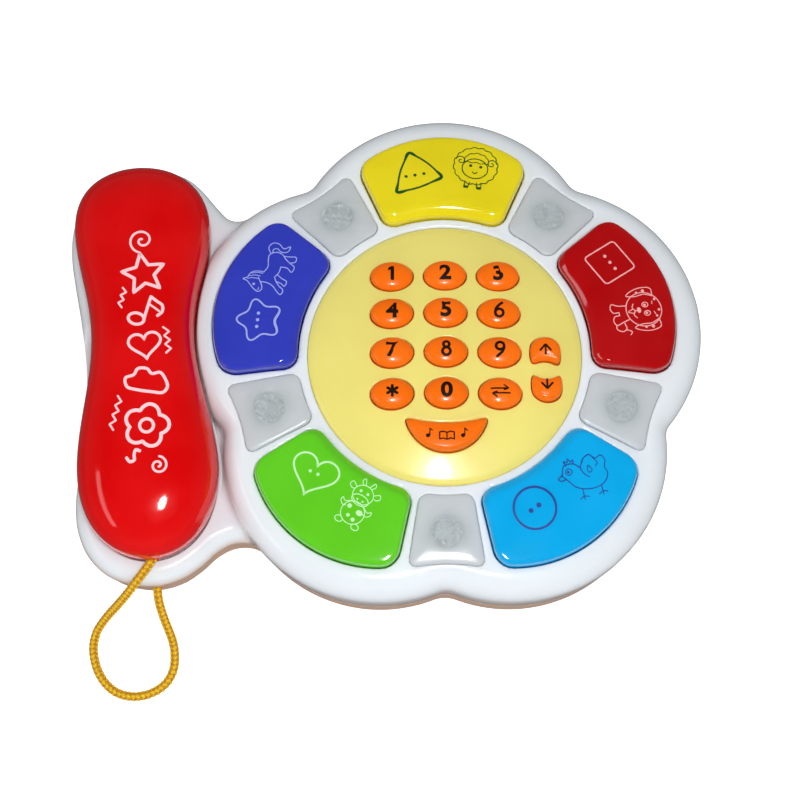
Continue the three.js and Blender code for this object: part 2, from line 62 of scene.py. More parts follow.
def link(o):
    bpy.context.scene.collection.objects.link(o)
    return o


def mesh_obj(name, verts, faces, mats, idx=None, sharp=38.0, smooth=True):
    me = bpy.data.meshes.new(name)
    me.from_pydata([tuple(v) for v in row(verts)], [], [tuple(int(i) for i in f) for f in faces])
    for m in (mats if isinstance(mats, (list, tuple)) else [mats]):
        me.materials.append(m)
    if idx is not None:
        me.polygons.foreach_set("material_index", np.asarray(idx, np.int32))
    me.update()
    if smooth:
        me.shade_smooth()
        if sharp:
            me.set_sharp_from_angle(angle=math.radians(sharp))
    return link(bpy.data.objects.new(name, me))


class Build:
    """gathers several closed surfaces into one mesh"""

    def __init__(self):
        self.v, self.f, self.m, self.n = [], [], [], 0

    def add(self, verts, faces, mat=0):
        verts = np.asarray(verts, float)
        self.v.append(verts)
        self.f += [tuple(int(i) + self.n for i in f) for f in faces]
        self.m += [mat] * len(faces)
        self.n += len(verts)
        return self

    def obj(self, name, mats, sharp=38.0):
        return mesh_obj(name, np.concatenate(self.v), self.f, mats, self.m, sharp)


def loft(rings, cap0=True, cap1=True, close_ring=True):
    """quads between rings of equal count; a cap is a fan to the ring's mean point"""
    rings = [np.asarray(r, float) for r in rings]
    n, V, F = len(rings[0]), np.concatenate(rings), []
    for i in range(len(rings) - 1):
        for j in range(n if close_ring else n - 1):
            k = (j + 1) % n
            F.append((i * n + j, i * n + k, (i + 1) * n + k, (i + 1) * n + j))
    extra = []
    if cap0:
        extra.append(rings[0].mean(0)); c = len(V) + len(extra) - 1
        F += [((j + 1) % n, j, c) for j in range(n)]
    if cap1:
        extra.append(rings[-1].mean(0)); c = len(V) + len(extra) - 1
        b = (len(rings) - 1) * n
        F += [(b + j, b + (j + 1) % n, c) for j in range(n)]
    return (np.vstack([V, extra]) if extra else V), F


def z_on(xy, z):
    xy = np.asarray(xy, float)
    if callable(z):
        z = z(xy[:, 0], xy[:, 1])
    return np.column_stack([xy, np.broadcast_to(z, len(xy))])


def rot(p, deg):
    a = math.radians(deg); c, s = math.cos(a), math.sin(a)
    p = np.array(p, float)
    q = p.copy()
    q[:, 0] = c * p[:, 0] - s * p[:, 1]
    q[:, 1] = s * p[:, 0] + c * p[:, 1]
    return q


def circle(r, n, x=0.0, y=0.0):
    t = np.arange(n) * 2 * np.pi / n
    return np.column_stack([x + r * np.cos(t), y + r * np.sin(t)])


# ------------------------------------------------------------------ outlines
LOBES = [90, 18, -54, -126, 162]
NOTCHES = [126, 54, -18, -90, -162]
PETAL_NAMES = ["yellow", "red", "blue", "green", "purple"]
LOBE_D, LOBE_R, NOTCH_R = 40.0, 57.0, 8.0
_D = math.cos(math.radians(36)) * LOBE_D + math.sqrt((LOBE_R + NOTCH_R) ** 2 - (math.sin(math.radians(36)) * LOBE_D) ** 2)
DISC_R = 49.4


def meet(ds, r):
    m = ds[0]
    for d in ds[1:]:
        m = np.maximum(m, d)
    s = sum(np.maximum(r + d, 0) ** 2 for d in ds)
    return np.minimum(-r, m) + np.sqrt(s)


def level_ring(f, cx, cy, inset, n, far=75.0, phase=0.0):
    a = (np.arange(n) + phase) * 2 * np.pi / n
    c, s = np.cos(a), np.sin(a)
    lo, hi = np.zeros(n), np.full(n, float(far))
    for _ in range(44):
        m = (lo + hi) / 2
        inside = f(cx + c * m, cy + s * m) < -inset
        lo, hi = np.where(inside, m, lo), np.where(inside, hi, m)
    return np.column_stack([cx + c * lo, cy + s * lo])


def petal_f(x, y, inner=0.0, outer=0.0):
    phi, r = math.radians(23.3), np.hypot(x, y)
    return meet([53.3 + inner - r, np.abs(x) * math.cos(phi) - y * math.sin(phi) - outer,
                 np.hypot(x, y - 39.5) - 47 - outer], 5.0)


def lens_f(x, y):
    k = math.atan(0.161); c, s = math.cos(k), math.sin(k)
    return meet([53.4 - np.hypot(x, y), (np.abs(x) - 9.75) * c - (y - 55) * s, 61 - np.hypot(x, y - 138.6)], 3.5)


def petal_ring(inset, n=120, inner=0.0):
    return level_ring(lambda x, y: petal_f(x, y, inner), 0, 70, inset, n)


def lens_ring(inset, n=80):
    return level_ring(lens_f, 0, 66, inset, n)


up_f = lambda x, y: meet([np.abs(x - 36.2) - 5.7, np.hypot(x - 36.2, y + 1.3) - 6.05, 7.9 - np.hypot(x - 36.2, y + 12.0)], 1.1)
down_f = lambda x, y: meet([np.abs(x - 36.5) - 5.7, np.hypot(x - 36.5, y + 13.1) - 6.05, 7.9 - np.hypot(x - 36.5, y + 3.1)], 1.1)
smile_f = lambda x, y: meet([np.hypot(x - 0.3, y + 23.05) - 15.05, 51.2 - np.hypot(x - 0.3, y - 23.4)], 1.6)


def flower_inset(x, y):
    """exact distance inside the five-lobed outline"""
    th = np.arctan2(y, x)
    best = np.full(np.shape(x), -1e9)
    for a in LOBES:
        A = math.radians(a)
        d = (th - A + np.pi) % (2 * np.pi) - np.pi
        near = np.abs(d) <= math.radians(36) + 1e-9
        sgn = np.where(d >= 0, 1.0, -1.0)
        lx, ly = LOBE_D * math.cos(A), LOBE_D * math.sin(A)
        nb = A + sgn * math.radians(36)
        nx, ny = _D * np.cos(nb), _D * np.sin(nb)
        cr = ((nx - lx) * (y - ly) - (ny - ly) * (x - lx)) * sgn
        v = np.where(cr > 0, np.hypot(x - nx, y - ny) - NOTCH_R, LOBE_R - np.hypot(x - lx, y - ly))
        best = np.where(near, v, best)
    return best


def flower_ring(inset, n):
    th = np.arange(n) * 2 * np.pi / n
    lo, hi = np.full(n, 30.0), np.full(n, 110.0)
    for _ in range(44):
        m = (lo + hi) / 2
        ok = flower_inset(m * np.cos(th), m * np.sin(th)) > inset
        lo, hi = np.where(ok, m, lo), np.where(ok, hi, m)
    return np.column_stack([lo * np.cos(th), lo * np.sin(th)])


CRADLE = [[-60, 50], [-68, 58.5], [-73.3, 62.2], [-76.1, 61.4], [-79.1, 61.3], [-81.8, 62.6], [-86, 67.2], [-91.6, 74.0],
          [-96.6, 78.4], [-104, 81.5], [-113, 82.3], [-123, 80.3], [-132, 74.6], [-138, 66], [-140.5, 56], [-140.4, 46],
          [-138.8, 36], [-136, 22], [-134, 10], [-132.7, -2], [-132.3, -15], [-132.8, -28], [-133.9, -40], [-134.5, -50],
          [-133.4, -60], [-129.4, -69.4], [-122, -76.8], [-112.5, -80.3], [-103.3, -80.6], [-94.5, -77.9], [-87.4, -73],
          [-82, -68], [-76.5, -65.2], [-71, -65.2], [-65, -68], [-55, -66], [-50, -50], [-50, 0]]


def catmull(P, closed, per):
    """centripetal Catmull-Rom through the points"""
    P = np.asarray(P, float); n = len(P); out = []
    for i in range(n if closed else n - 1):
        if closed:
            p0, p1, p2, p3 = P[(i - 1) % n], P[i], P[(i + 1) % n], P[(i + 2) % n]
        else:
            p1, p2 = P[i], P[i + 1]
            p0 = P[i - 1] if i > 0 else 2 * p1 - p2
            p3 = P[i + 2] if i + 2 < n else 2 * p2 - p1
        t = [0.0]
        for a, b in ((p0, p1), (p1, p2), (p2, p3)):
            t.append(t[-1] + max(np.linalg.norm(b - a), 1e-9) ** 0.5)
        for k in range(per):
            u = t[1] + (t[2] - t[1]) * k / per
            A1 = (t[1] - u) / (t[1] - t[0]) * p0 + (u - t[0]) / (t[1] - t[0]) * p1
            A2 = (t[2] - u) / (t[2] - t[1]) * p1 + (u - t[1]) / (t[2] - t[1]) * p2
            A3 = (t[3] - u) / (t[3] - t[2]) * p2 + (u - t[2]) / (t[3] - t[2]) * p3
            B1 = (t[2] - u) / (t[2] - t[0]) * A1 + (u - t[0]) / (t[2] - t[0]) * A2
            B2 = (t[3] - u) / (t[3] - t[1]) * A2 + (u - t[1]) / (t[3] - t[1]) * A3
            out.append((t[2] - u) / (t[2] - t[1]) * B1 + (u - t[1]) / (t[2] - t[1]) * B2)
    if not closed:
        out.append(P[-1])
    return np.array(out)


def resample(P, step, closed):
    Q = np.vstack([P, P[:1]]) if closed else P
    L = np.concatenate([[0], np.cumsum(np.linalg.norm(np.diff(Q, axis=0), axis=1))])
    m = max(3, int(round(L[-1] / step)))
    s = np.linspace(0, L[-1], m + 1)
    R = np.column_stack([np.interp(s, L, Q[:, k]) for k in range(Q.shape[1])])
    return R[:-1] if closed else R


def loop_normals(P):
    """outward normals of a counter-clockwise loop"""
    t = np.roll(P, -1, 0) - np.roll(P, 1, 0)
    t /= np.linalg.norm(t, axis=1)[:, None] + 1e-12
    return np.column_stack([t[:, 1], -t[:, 0]])


CR_LINE = resample(catmull(CRADLE, True, 40), 0.5, True)
_area = 0.5 * np.sum(CR_LINE[:, 0] * np.roll(CR_LINE[:, 1], -1) - np.roll(CR_LINE[:, 0], -1) * CR_LINE[:, 1])
if _area < 0:
    CR_LINE = CR_LINE[::-1]


def poly_sd(P, x, y):
    """signed distance to a closed polyline, positive inside"""
    x, y = np.atleast_1d(np.asarray(x, float)), np.atleast_1d(np.asarray(y, float))
    A, B = P, np.roll(P, -1, 0)
    out = np.empty(len(x))
    for s in range(0, len(x), 4000):
        px, py = x[s:s + 4000, None], y[s:s + 4000, None]
        dx, dy = (B - A)[:, 0][None], (B - A)[:, 1][None]
        t = np.clip(((px - A[:, 0]) * dx + (py - A[:, 1]) * dy) / (dx * dx + dy * dy + 1e-15), 0, 1)
        d = np.sqrt(((px - A[:, 0] - t * dx) ** 2 + (py - A[:, 1] - t * dy) ** 2).min(1))
        cond = (A[:, 1][None] > py) != (B[:, 1][None] > py)
        xi = A[:, 0][None] + (py - A[:, 1][None]) * dx / (dy + 1e-15)
        inside = (cond & (px < xi)).sum(1) % 2 == 1
        out[s:s + 4000] = np.where(inside, d, -d)
    return out


cradle_inset = lambda x, y: poly_sd(CR_LINE, x, y)

# handset outline
HS_CX, HS_CY, HS_TILT, HS_L = -109.62, 1.375, 0.0603, 75.55


def hs_half(t):
    x = np.asarray(t, float) / 75
    w2 = (1 - (np.asarray(t, float) / HS_L) ** 2) * (365.64 - 229.43 * x + 1567.32 * x ** 2 + 491.21 * x ** 3 + 0.44 * x ** 4 - 45.46 * x ** 6)
    return np.sqrt(np.maximum(w2, 0))


def hs_world(u, t):
    c, s = math.cos(HS_TILT), math.sin(HS_TILT)
    return HS_CX + u * c - t * s, HS_CY + u * s + t * c


def hs_local(x, y):
    c, s = math.cos(HS_TILT), math.sin(HS_TILT)
    return (x - HS_CX) * c + (y - HS_CY) * s, -(x - HS_CX) * s + (y - HS_CY) * c


N_HS = 176
_a = np.arange(N_HS) * 2 * np.pi / N_HS
_t = HS_L * np.sin(_a)
HS_OUT = np.column_stack([np.sign(np.cos(_a)) * np.where(np.abs(np.cos(_a)) < 1e-9, 0, hs_half(_t)), _t])
hs_add = lambda t: 1.8 * np.exp(-((np.asarray(t, float) - 45) / 21) ** 2) + 0.7 * np.exp(-((np.asarray(t, float) + 42) / 22) ** 2)
HS_OUT[:, 0] += hs_add(_t) * np.clip(HS_OUT[:, 0] / 12, 0, 1)
HS_OUT[:, 1] -= 1.5 * np.clip((_t - 40) / 35.5, 0, 1) ** 2
T_LO, T_HI = -42.9, 50.15


def hs_ring_ut(k, grow=0.0):
    nrm = loop_normals(HS_OUT)
    s = np.clip(HS_OUT[:, 1], T_LO, T_HI)
    u = HS_OUT[:, 0] * k + grow * nrm[:, 0]
    t = s + (HS_OUT[:, 1] - s) * k + grow * nrm[:, 1]
    return u, t


def hs_ring(k, z, grow=0.0):
    u, t = hs_ring_ut(k, grow)
    x, y = hs_world(u, t)
    zz = z(t) if callable(z) else np.full(len(t), float(z))
    return np.column_stack([x, y, zz])


HS_POLY = hs_ring(1, 0)[:, :2]
handset_out = lambda x, y: -poly_sd(HS_POLY, x, y)       # positive outside the handset
step01 = lambda a, b, x: (lambda s: s * s * (3 - 2 * s))(np.clip((np.asarray(x, float) - a) / (b - a), 0, 1))
hs_top = lambda t: 50.2 - 1.6 * (np.asarray(t, float) / 60) ** 2
hs_under = lambda t: 28.6 - 9.8 * step01(20, 36, np.abs(t))

# ------------------------------------------------------------------ materials
def new_mat(name):
    m = bpy.data.materials.new(name)
    m.use_nodes = True
    nt = m.node_tree
    b = nt.nodes.get("Principled BSDF")
    return m, nt, b


def srgb(r, g, b):
    def f(c):
        c /= 255.0
        return c / 12.92 if c <= 0.04045 else ((c + 0.055) / 1.055) ** 2.4
    return (f(r), f(g), f(b), 1.0)


def mix_color(nt, fac, a, b):
    n = nt.nodes.new("ShaderNodeMix"); n.data_type = "RGBA"
    if fac is not None:
        nt.links.new(fac, n.inputs[0])
    for k, v in ((6, a), (7, b)):
        if isinstance(v, tuple):
            n.inputs[k].default_value = v
        else:
            nt.links.new(v, n.inputs[k])
    return n.outputs[2]


def noise(nt, scale, detail=3.0, rough=0.55, vec=None):
    n = nt.nodes.new("ShaderNodeTexNoise")
    n.inputs["Scale"].default_value = scale
    n.inputs["Detail"].default_value = detail
    n.inputs["Roughness"].default_value = rough
    if vec is not None:
        nt.links.new(vec, n.inputs["Vector"])
    return n.outputs["Fac"]


def ramp(nt, fac, lo, hi, a=0.0, b=1.0):
    n = nt.nodes.new("ShaderNodeMapRange")
    nt.links.new(fac, n.inputs["Value"])
    n.inputs["From Min"].default_value = lo
    n.inputs["From Max"].default_value = hi
    n.inputs["To Min"].default_value = a
    n.inputs["To Max"].default_value = b
    n.clamp = True
    return n.outputs["Result"]


def obj_coord(nt):
    return nt.nodes.new("ShaderNodeTexCoord").outputs["Object"]


def plastic(name, col, rough=0.2, vary=0.04, coat=0.0, sss=0.0, grain=0.00001, grain_scale=900.0, spec=0.5, warm=None, shade=None):
    """moulded plastic: faint flow clouds in the colour, uneven gloss, fine surface waviness"""
    m, nt, b = new_mat(name)
    vec = obj_coord(nt)
    c = srgb(*col)
    dark = tuple(x * (1 - vary * 1.6) for x in c[:3]) + (1.0,)
    lite = tuple(min(1.0, x * (1 + vary) + 0.004) for x in c[:3]) + (1.0,)
    cloud = ramp(nt, noise(nt, 38.0, 4.0, 0.5, vec), 0.35, 0.65)
    colour = mix_color(nt, cloud, dark, lite)
    if shade is not None:                                      # darker or warmer towards a height, in metres
        sep = nt.nodes.new("ShaderNodeSeparateXYZ"); nt.links.new(vec, sep.inputs[0])
        z0, z1, tint = shade
        colour = mix_color(nt, ramp(nt, sep.outputs["Z"], z0, z1, 0.0, 1.0), srgb(*tint), colour)
    nt.links.new(colour, b.inputs["Base Color"])
    r = ramp(nt, noise(nt, 120.0, 5.0, 0.6, vec), 0.3, 0.7, max(0.02, rough * 0.8), rough * 1.25)
    nt.links.new(r, b.inputs["Roughness"])
    b.inputs["Specular IOR Level"].default_value = spec
    b.inputs["Coat Weight"].default_value = coat
    b.inputs["Coat Roughness"].default_value = 0.05
    if sss:
        b.inputs["Subsurface Weight"].default_value = sss
        b.inputs["Subsurface Radius"].default_value = (0.004, 0.003, 0.0025)
        b.inputs["Subsurface Scale"].default_value = 0.5
    bump = nt.nodes.new("ShaderNodeBump")
    bump.inputs["Strength"].default_value = 0.35
    bump.inputs["Distance"].default_value = grain
    nt.links.new(noise(nt, grain_scale, 3.0, 0.5, vec), bump.inputs["Height"])
    wave = nt.nodes.new("ShaderNodeBump")
    wave.inputs["Strength"].default_value = 0.25
    wave.inputs["Distance"].default_value = 0.00012
    nt.links.new(noise(nt, 42.0, 2.0, 0.4, vec), wave.inputs["Height"])
    nt.links.new(bump.outputs[0], wave.inputs["Normal"])
    nt.links.new(wave.outputs[0], b.inputs["Normal"])
    return m


WHITE = plastic("white_abs", (229, 235, 240), 0.16, 0.012, coat=0.25, sss=0.06)


def paint_warm_bounce(m, col, z0, z1):
    """painted warm bounce light: upright faces low on the housing take a warm tone, as if lit from a warm floor below
    """
    nt = m.node_tree
    b = nt.nodes["Principled BSDF"]
    src = b.inputs["Base Color"].links[0].from_socket
    g = nt.nodes.new("ShaderNodeNewGeometry")
    sn = nt.nodes.new("ShaderNodeSeparateXYZ"); nt.links.new(g.outputs["Normal"], sn.inputs[0])
    sp = nt.nodes.new("ShaderNodeSeparateXYZ"); nt.links.new(obj_coord(nt), sp.inputs[0])
    bounce_mask = nt.nodes.new("ShaderNodeMath"); bounce_mask.operation = "MULTIPLY"
    up = nt.nodes.new("ShaderNodeMath"); up.operation = "ABSOLUTE"
    nt.links.new(sn.outputs["Z"], up.inputs[0])
    nt.links.new(ramp(nt, up.outputs[0], 0.04, 0.62, 1.0, 0.0), bounce_mask.inputs[0])
    nt.links.new(ramp(nt, sp.outputs["Z"], z0, z1, 1.0, 0.0), bounce_mask.inputs[1])
    nt.links.new(mix_color(nt, bounce_mask.outputs[0], src, col), b.inputs["Base Color"])


# painted warm bounce on the low upright flanks of the white shell
paint_warm_bounce(WHITE, srgb(214, 182, 161), 0.0150, 0.0310)
# lower shell: off-white, warmer than the upper shell as a mild painted warm bounce over the whole part
LOWER = plastic("lower_abs", (226, 216, 208), 0.34, 0.02, sss=0.03, grain=0.00003, grain_scale=1400)
# painted warm bounce on the low upright flanks of the lower shell
paint_warm_bounce(LOWER, srgb(212, 172, 146), 0.0150, 0.0300)
DISC = plastic("pale_yellow_abs", (236, 224, 122), 0.2, 0.02, coat=0.2, sss=0.08)
PETAL = {
    "yellow": plastic("yellow_abs", (234, 216, 24), 0.09, 0.03, coat=0.5, sss=0.05),
    "red": plastic("crimson_abs", (176, 0, 4), 0.07, 0.03, coat=0.6),
    "blue": plastic("sky_abs", (0, 168, 232), 0.07, 0.03, coat=0.5),
    "green": plastic("green_abs", (95, 202, 30), 0.09, 0.03, coat=0.5, sss=0.04),
    "purple": plastic("violet_abs", (48, 60, 186), 0.07, 0.03, coat=0.6),
}
KEY = plastic("orange_key", (252, 112, 0), 0.2, 0.03, coat=0.2, spec=0.4)
RED = plastic("handset_red_abs", (218, 0, 2), 0.09, 0.03, coat=0.35, spec=0.4)
INK_DARK = plastic("ink_brown", (22, 9, 3), 0.5, 0.08, grain=0.00002, spec=0.3)
INK = {
    "yellow": plastic("ink_green", (22, 82, 30), 0.4, 0.06, grain=0.00002),
    "red": plastic("ink_pink", (240, 172, 172), 0.4, 0.03, grain=0.00002),
    "blue": plastic("ink_navy", (8, 58, 150), 0.4, 0.06, grain=0.00002),
    "green": plastic("ink_mint", (190, 240, 176), 0.4, 0.03, grain=0.00002),
    "purple": plastic("ink_lilac", (160, 172, 232), 0.4, 0.03, grain=0.00002),
}
INK_WHITE = plastic("ink_white", (250, 208, 214), 0.38, 0.02, grain=0.00002)
# black plastic of the power switch; also the painted shade at the handset's sound holes
BLACK_AND_HOLE_SHADE = plastic("switch_black_abs_and_hole_shade", (34, 35, 38), 0.4, 0.1, grain=0.00004, grain_scale=1800)


def metal(name, col, rough):
    m, nt, b = new_mat(name)
    vec = obj_coord(nt)
    c = srgb(*col)
    fac = ramp(nt, noise(nt, 600.0, 4.0, 0.6, vec), 0.3, 0.7)
    nt.links.new(mix_color(nt, fac, tuple(x * 0.8 for x in c[:3]) + (1.0,), c), b.inputs["Base Color"])
    b.inputs["Metallic"].default_value = 1.0
    nt.links.new(ramp(nt, noise(nt, 1500.0, 3.0, 0.6, vec), 0.3, 0.7, rough * 0.7, rough * 1.4), b.inputs["Roughness"])
    return m


STEEL = metal("zinc_steel", (176, 180, 186), 0.34)
PLATED = metal("plated_spring_steel", (205, 208, 210), 0.25)


def lens_clear():
    """milky at the rim, clearer over the middle where the facets show through"""
    m, nt, b = new_mat("frosted_window")
    vec = obj_coord(nt)
    sp = nt.nodes.new("ShaderNodeSeparateXYZ")
    nt.links.new(vec, sp.inputs[0])
    def op(kind, a, c=None):
        n = nt.nodes.new("ShaderNodeMath"); n.operation = kind
        for i, v in enumerate((a, c)):
            if v is None:
                continue
            if isinstance(v, (int, float)):
                n.inputs[i].default_value = v
            else:
                nt.links.new(v, n.inputs[i])
        return n.outputs[0]
    dx = op("SUBTRACT", sp.outputs["X"], SX)
    dy = op("SUBTRACT", sp.outputs["Y"], SY)
    r = op("POWER", op("ADD", op("MULTIPLY", dx, dx), op("MULTIPLY", dy, dy)), 0.5)
    t = op("DIVIDE", op("ADD", op("ARCTAN2", dy, dx), math.pi / 2), 2 * math.pi / 5)
    da = op("MULTIPLY", op("MULTIPLY", op("SUBTRACT", t, op("ROUND", t)), 2 * math.pi / 5), 0.066)
    dr = op("SUBTRACT", r, 0.0665)
    q = op("POWER", op("ADD", op("MULTIPLY", da, da), op("MULTIPLY", dr, dr)), 0.5)
    mid = ramp(nt, q, 0.0052, 0.0135, 1.0, 0.0)
    mid = op("MULTIPLY", mid, mid)
    nt.links.new(mix_color(nt, mid, (0.60, 0.635, 0.665, 1), (0.92, 0.98, 1.0, 1)), b.inputs["Base Color"])
    b.inputs["IOR"].default_value = 1.35
    nt.links.new(ramp(nt, mid, 0.0, 1.0, 0.12, 0.76), b.inputs["Transmission Weight"])
    nt.links.new(ramp(nt, mid, 0.0, 0.75, 0.25, 0.03), b.inputs["Roughness"])
    b.inputs["Coat Weight"].default_value = 0.12
    b.inputs["Coat Roughness"].default_value = 0.12
    return m


LENS = lens_clear()
FACET = plastic("facet_reflector", (244, 250, 253), 0.18, 0.03, coat=0.5)
FACET.node_tree.nodes["Principled BSDF"].inputs["Metallic"].default_value = 0.15


def fibre(name, col):
    m, nt, b = new_mat(name)
    vec = obj_coord(nt)
    c = srgb(*col)
    dark = tuple(x * 0.62 for x in c[:3]) + (1.0,)
    lite = tuple(min(1.0, x * 1.18) for x in c[:3]) + (1.0,)
    n = ramp(nt, noise(nt, 2200.0, 4.0, 0.7, vec), 0.3, 0.7)
    nt.links.new(mix_color(nt, n, dark, lite), b.inputs["Base Color"])
    b.inputs["Roughness"].default_value = 0.62
    b.inputs["Sheen Weight"].default_value = 0.12
    b.inputs["Sheen Roughness"].default_value = 0.4
    b.inputs["Sheen Tint"].default_value = (1.0, 0.9, 0.6, 1)
    bump = nt.nodes.new("ShaderNodeBump")
    bump.inputs["Strength"].default_value = 0.6
    bump.inputs["Distance"].default_value = 0.00008
    nt.links.new(noise(nt, 3000.0, 3.0, 0.6, vec), bump.inputs["Height"])
    nt.links.new(bump.outputs[0], b.inputs["Normal"])
    return m


CORDM = fibre("yellow_polyester", (250, 202, 30))
# darker copy of the same cord fibre: painted shade, used for the core between the strands and for one strand family
CORD_PAINTED_SHADE = fibre("yellow_polyester_painted_shade", (204, 138, 4))

# ------------------------------------------------------------------ camera
def make_camera():
    az, el, ro, D = math.radians(-0.6), math.radians(71.58), math.radians(0.37), 717.3
    look = np.array([-16.27, -18.33, 42.0])
    back = np.array([math.sin(az) * math.cos(el), -math.cos(az) * math.cos(el), math.sin(el)])
    right = np.cross(-back, [0, 0, 1.0]); right /= np.linalg.norm(right)
    up = np.cross(right, -back)
    c, s = math.cos(ro), math.sin(ro)
    r2, u2 = c * right + s * up, -s * right + c * up
    pos = row(look + back * D)
    cam = bpy.data.cameras.new("view")
    cam.sensor_width = 36.0
    cam.lens = 90.0
    cam.clip_start, cam.clip_end = 0.05, 20
    o = link(bpy.data.objects.new("view", cam))
    R = Matrix(((r2[0], u2[0], back[0]), (r2[1], u2[1], back[1]), (r2[2], u2[2], back[2])))
    o.matrix_world = Matrix.Translation(Vector(pos)) @ R.to_4x4()
    bpy.context.scene.camera = o
    return pos


CAM_POS = make_camera()

# ------------------------------------------------------------------ cord: braided, from the handset's tip over the rim and back
CORD = [[-104.6, -72.95, 28.0], [-106.3, -75.6, 27.6], [-108.3, -78.2, 26.8], [-110.7, -80.9, 25.2], [-113.0, -83.05, 22.4],
        [-115.98, -85.27, 18.2], [-119.02, -87.12, 13.6], [-122.1, -89.01, 9.2], [-124.8, -91.2, 5.6], [-126.9, -93.7, 3.2],
        [-127.95, -96.4, 2.0], [-128.35, -99.2, 1.7], [-128.1, -102.2, 1.7], [-126.7, -107.4, 1.7], [-123.6, -112.6, 1.7],
        [-119.2, -116.2, 1.7], [-113.2, -117.7, 1.7], [-106.9, -116.6, 1.7], [-101.7, -113.2, 1.7], [-99.0, -108.3, 1.7],
        [-98.6, -102.4, 1.7], [-99.6, -97.2, 1.8], [-101.0, -93.5, 2.4], [-102.3, -90.4, 3.5], [-103.4, -87.4, 5.1],
        [-104.2, -84.6, 6.8], [-104.7, -81.8, 8.0], [-104.9, -79.0, 8.4], [-105, -76.2, 8.4]]
CORD_LINE = resample(catmull(CORD, False, 24), 0.3, False)


def tube_frames(P):
    T = np.gradient(P, axis=0); T /= np.linalg.norm(T, axis=1)[:, None]
    N = np.zeros_like(P)
    n = np.cross(T[0], [0.1, 0.2, 1.0]); n /= np.linalg.norm(n); N[0] = n
    for i in range(1, len(P)):
        n = N[i - 1] - T[i] * np.dot(N[i - 1], T[i])
        N[i] = n / np.linalg.norm(n)
    return T, N, np.cross(T, N)


def tube(P, r, n=8, ends=True):
    T, N, B = tube_frames(P)
    r = np.broadcast_to(np.asarray(r, float), (len(P),))
    rings = []
    for i in range(len(P)):
        a = np.arange(n) * 2 * np.pi / n
        rings.append(P[i] + r[i] * (np.cos(a)[:, None] * N[i] + np.sin(a)[:, None] * B[i]))
    return loft(rings, ends, ends)


def braid(P, R=1.78, half=4, pitch=7.0, rs=0.60, step=0.33, flat=0.66):
    """tubular braid: half the strands turn each way and pass over and under one another"""
    P = resample(P, step, False)
    T, N, B = tube_frames(P)
    s = np.arange(len(P)) * step
    b = Build()
    # core in the darker copy: painted shade in the gaps between the strands
    core, cf = tube(P, R - 1.5 * rs, 12)
    b.add(core, cf, 1)
    a = np.arange(8) * np.pi / 4
    for d in (1, -1):
        for k in range(half):
            ph = d * 2 * np.pi * s / pitch + 2 * np.pi * k / half
            # two opposite strands meet every pitch / (2 * half); the phase of the lift alternates from one to the next
            m = 2 * half * s / pitch + (2 * k if d > 0 else 2 * k)
            lift = np.cos(np.pi * m) * (0.3 if d > 0 else -0.3)
            rad = R - flat * rs - 0.3 + lift
            out = np.cos(ph)[:, None] * N + np.sin(ph)[:, None] * B
            C = P + rad[:, None] * out
            t = np.gradient(C, axis=0); t /= np.linalg.norm(t, axis=1)[:, None]
            side = np.cross(t, out); side /= np.linalg.norm(side, axis=1)[:, None]
            rings = [C[i] + rs * (1.0 * np.cos(a)[:, None] * side[i] + flat * np.sin(a)[:, None] * out[i]) for i in range(len(P))]
            v, f = loft(rings)
            # strands turning one way take the darker copy: painted shade for the braid's relief
            b.add(v, f, 0 if d > 0 else 1)
    return b


cord_b = braid(CORD_LINE)
cord = cord_b.obj("tether_braid", [CORDM, CORD_PAINTED_SHADE], sharp=60)
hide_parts("tether_cord")


def knot_mesh(name, c, node, body, s=1.0):
    """overhand stopper knot: a trefoil of the cord pulled tight"""
    t = np.linspace(0, 2 * np.pi, 90, endpoint=False)
    x = np.sin(t) + 2 * np.sin(2 * t); y = np.cos(t) - 2 * np.cos(2 * t); z = -np.sin(3 * t)
    P = np.column_stack([x * 0.55, z * 0.9, y * 0.5]) * s + np.array(c)
    T = np.roll(P, -1, 0) - np.roll(P, 1, 0); T /= np.linalg.norm(T, axis=1)[:, None]
    out = P - np.array(c)
    rings = []
    a = np.arange(10) * 2 * np.pi / 10
    for i in range(len(P)):
        n = out[i] - T[i] * np.dot(out[i], T[i]); n /= np.linalg.norm(n)
        bb = np.cross(T[i], n)
        rings.append(P[i] + 1.15 * s * (np.cos(a)[:, None] * n + np.sin(a)[:, None] * bb))
    rings.append(rings[0])
    v, f = loft(rings, False, False)
    o = mesh_obj(name, v, f, CORDM)
    bm = bmesh.new(); bm.from_mesh(o.data)
    bmesh.ops.remove_doubles(bm, verts=bm.verts, dist=1e-6)
    bm.to_mesh(o.data); bm.free()
    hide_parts(node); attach(o, body)
    return o


knot_mesh("stopper_knot_handset", (-104.6, -65.6, 27.6), "cord_knot_handset", "handset")
knot_mesh("stopper_knot_base", (-105, -73.0, 8.4), "cord_knot_base", "base")
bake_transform(cord)

# ------------------------------------------------------------------ triangulated skins: a height over an outline with holes
def bevel_steps(n=10):
    return (1 - np.cos(np.linspace(0, np.pi / 2, n)))


def inside_poly(P, x, y):
    A, B = P, np.roll(P, -1, 0)
    out = np.zeros(len(x), bool)
    for s in range(0, len(x), 6000):
        px, py = x[s:s + 6000, None], y[s:s + 6000, None]
        cond = (A[:, 1][None] > py) != (B[:, 1][None] > py)
        xi = A[:, 0][None] + (py - A[:, 1][None]) * (B - A)[:, 0][None] / ((B - A)[:, 1][None] + 1e-15)
        out[s:s + 6000] = (cond & (px < xi)).sum(1) % 2 == 1
    return out


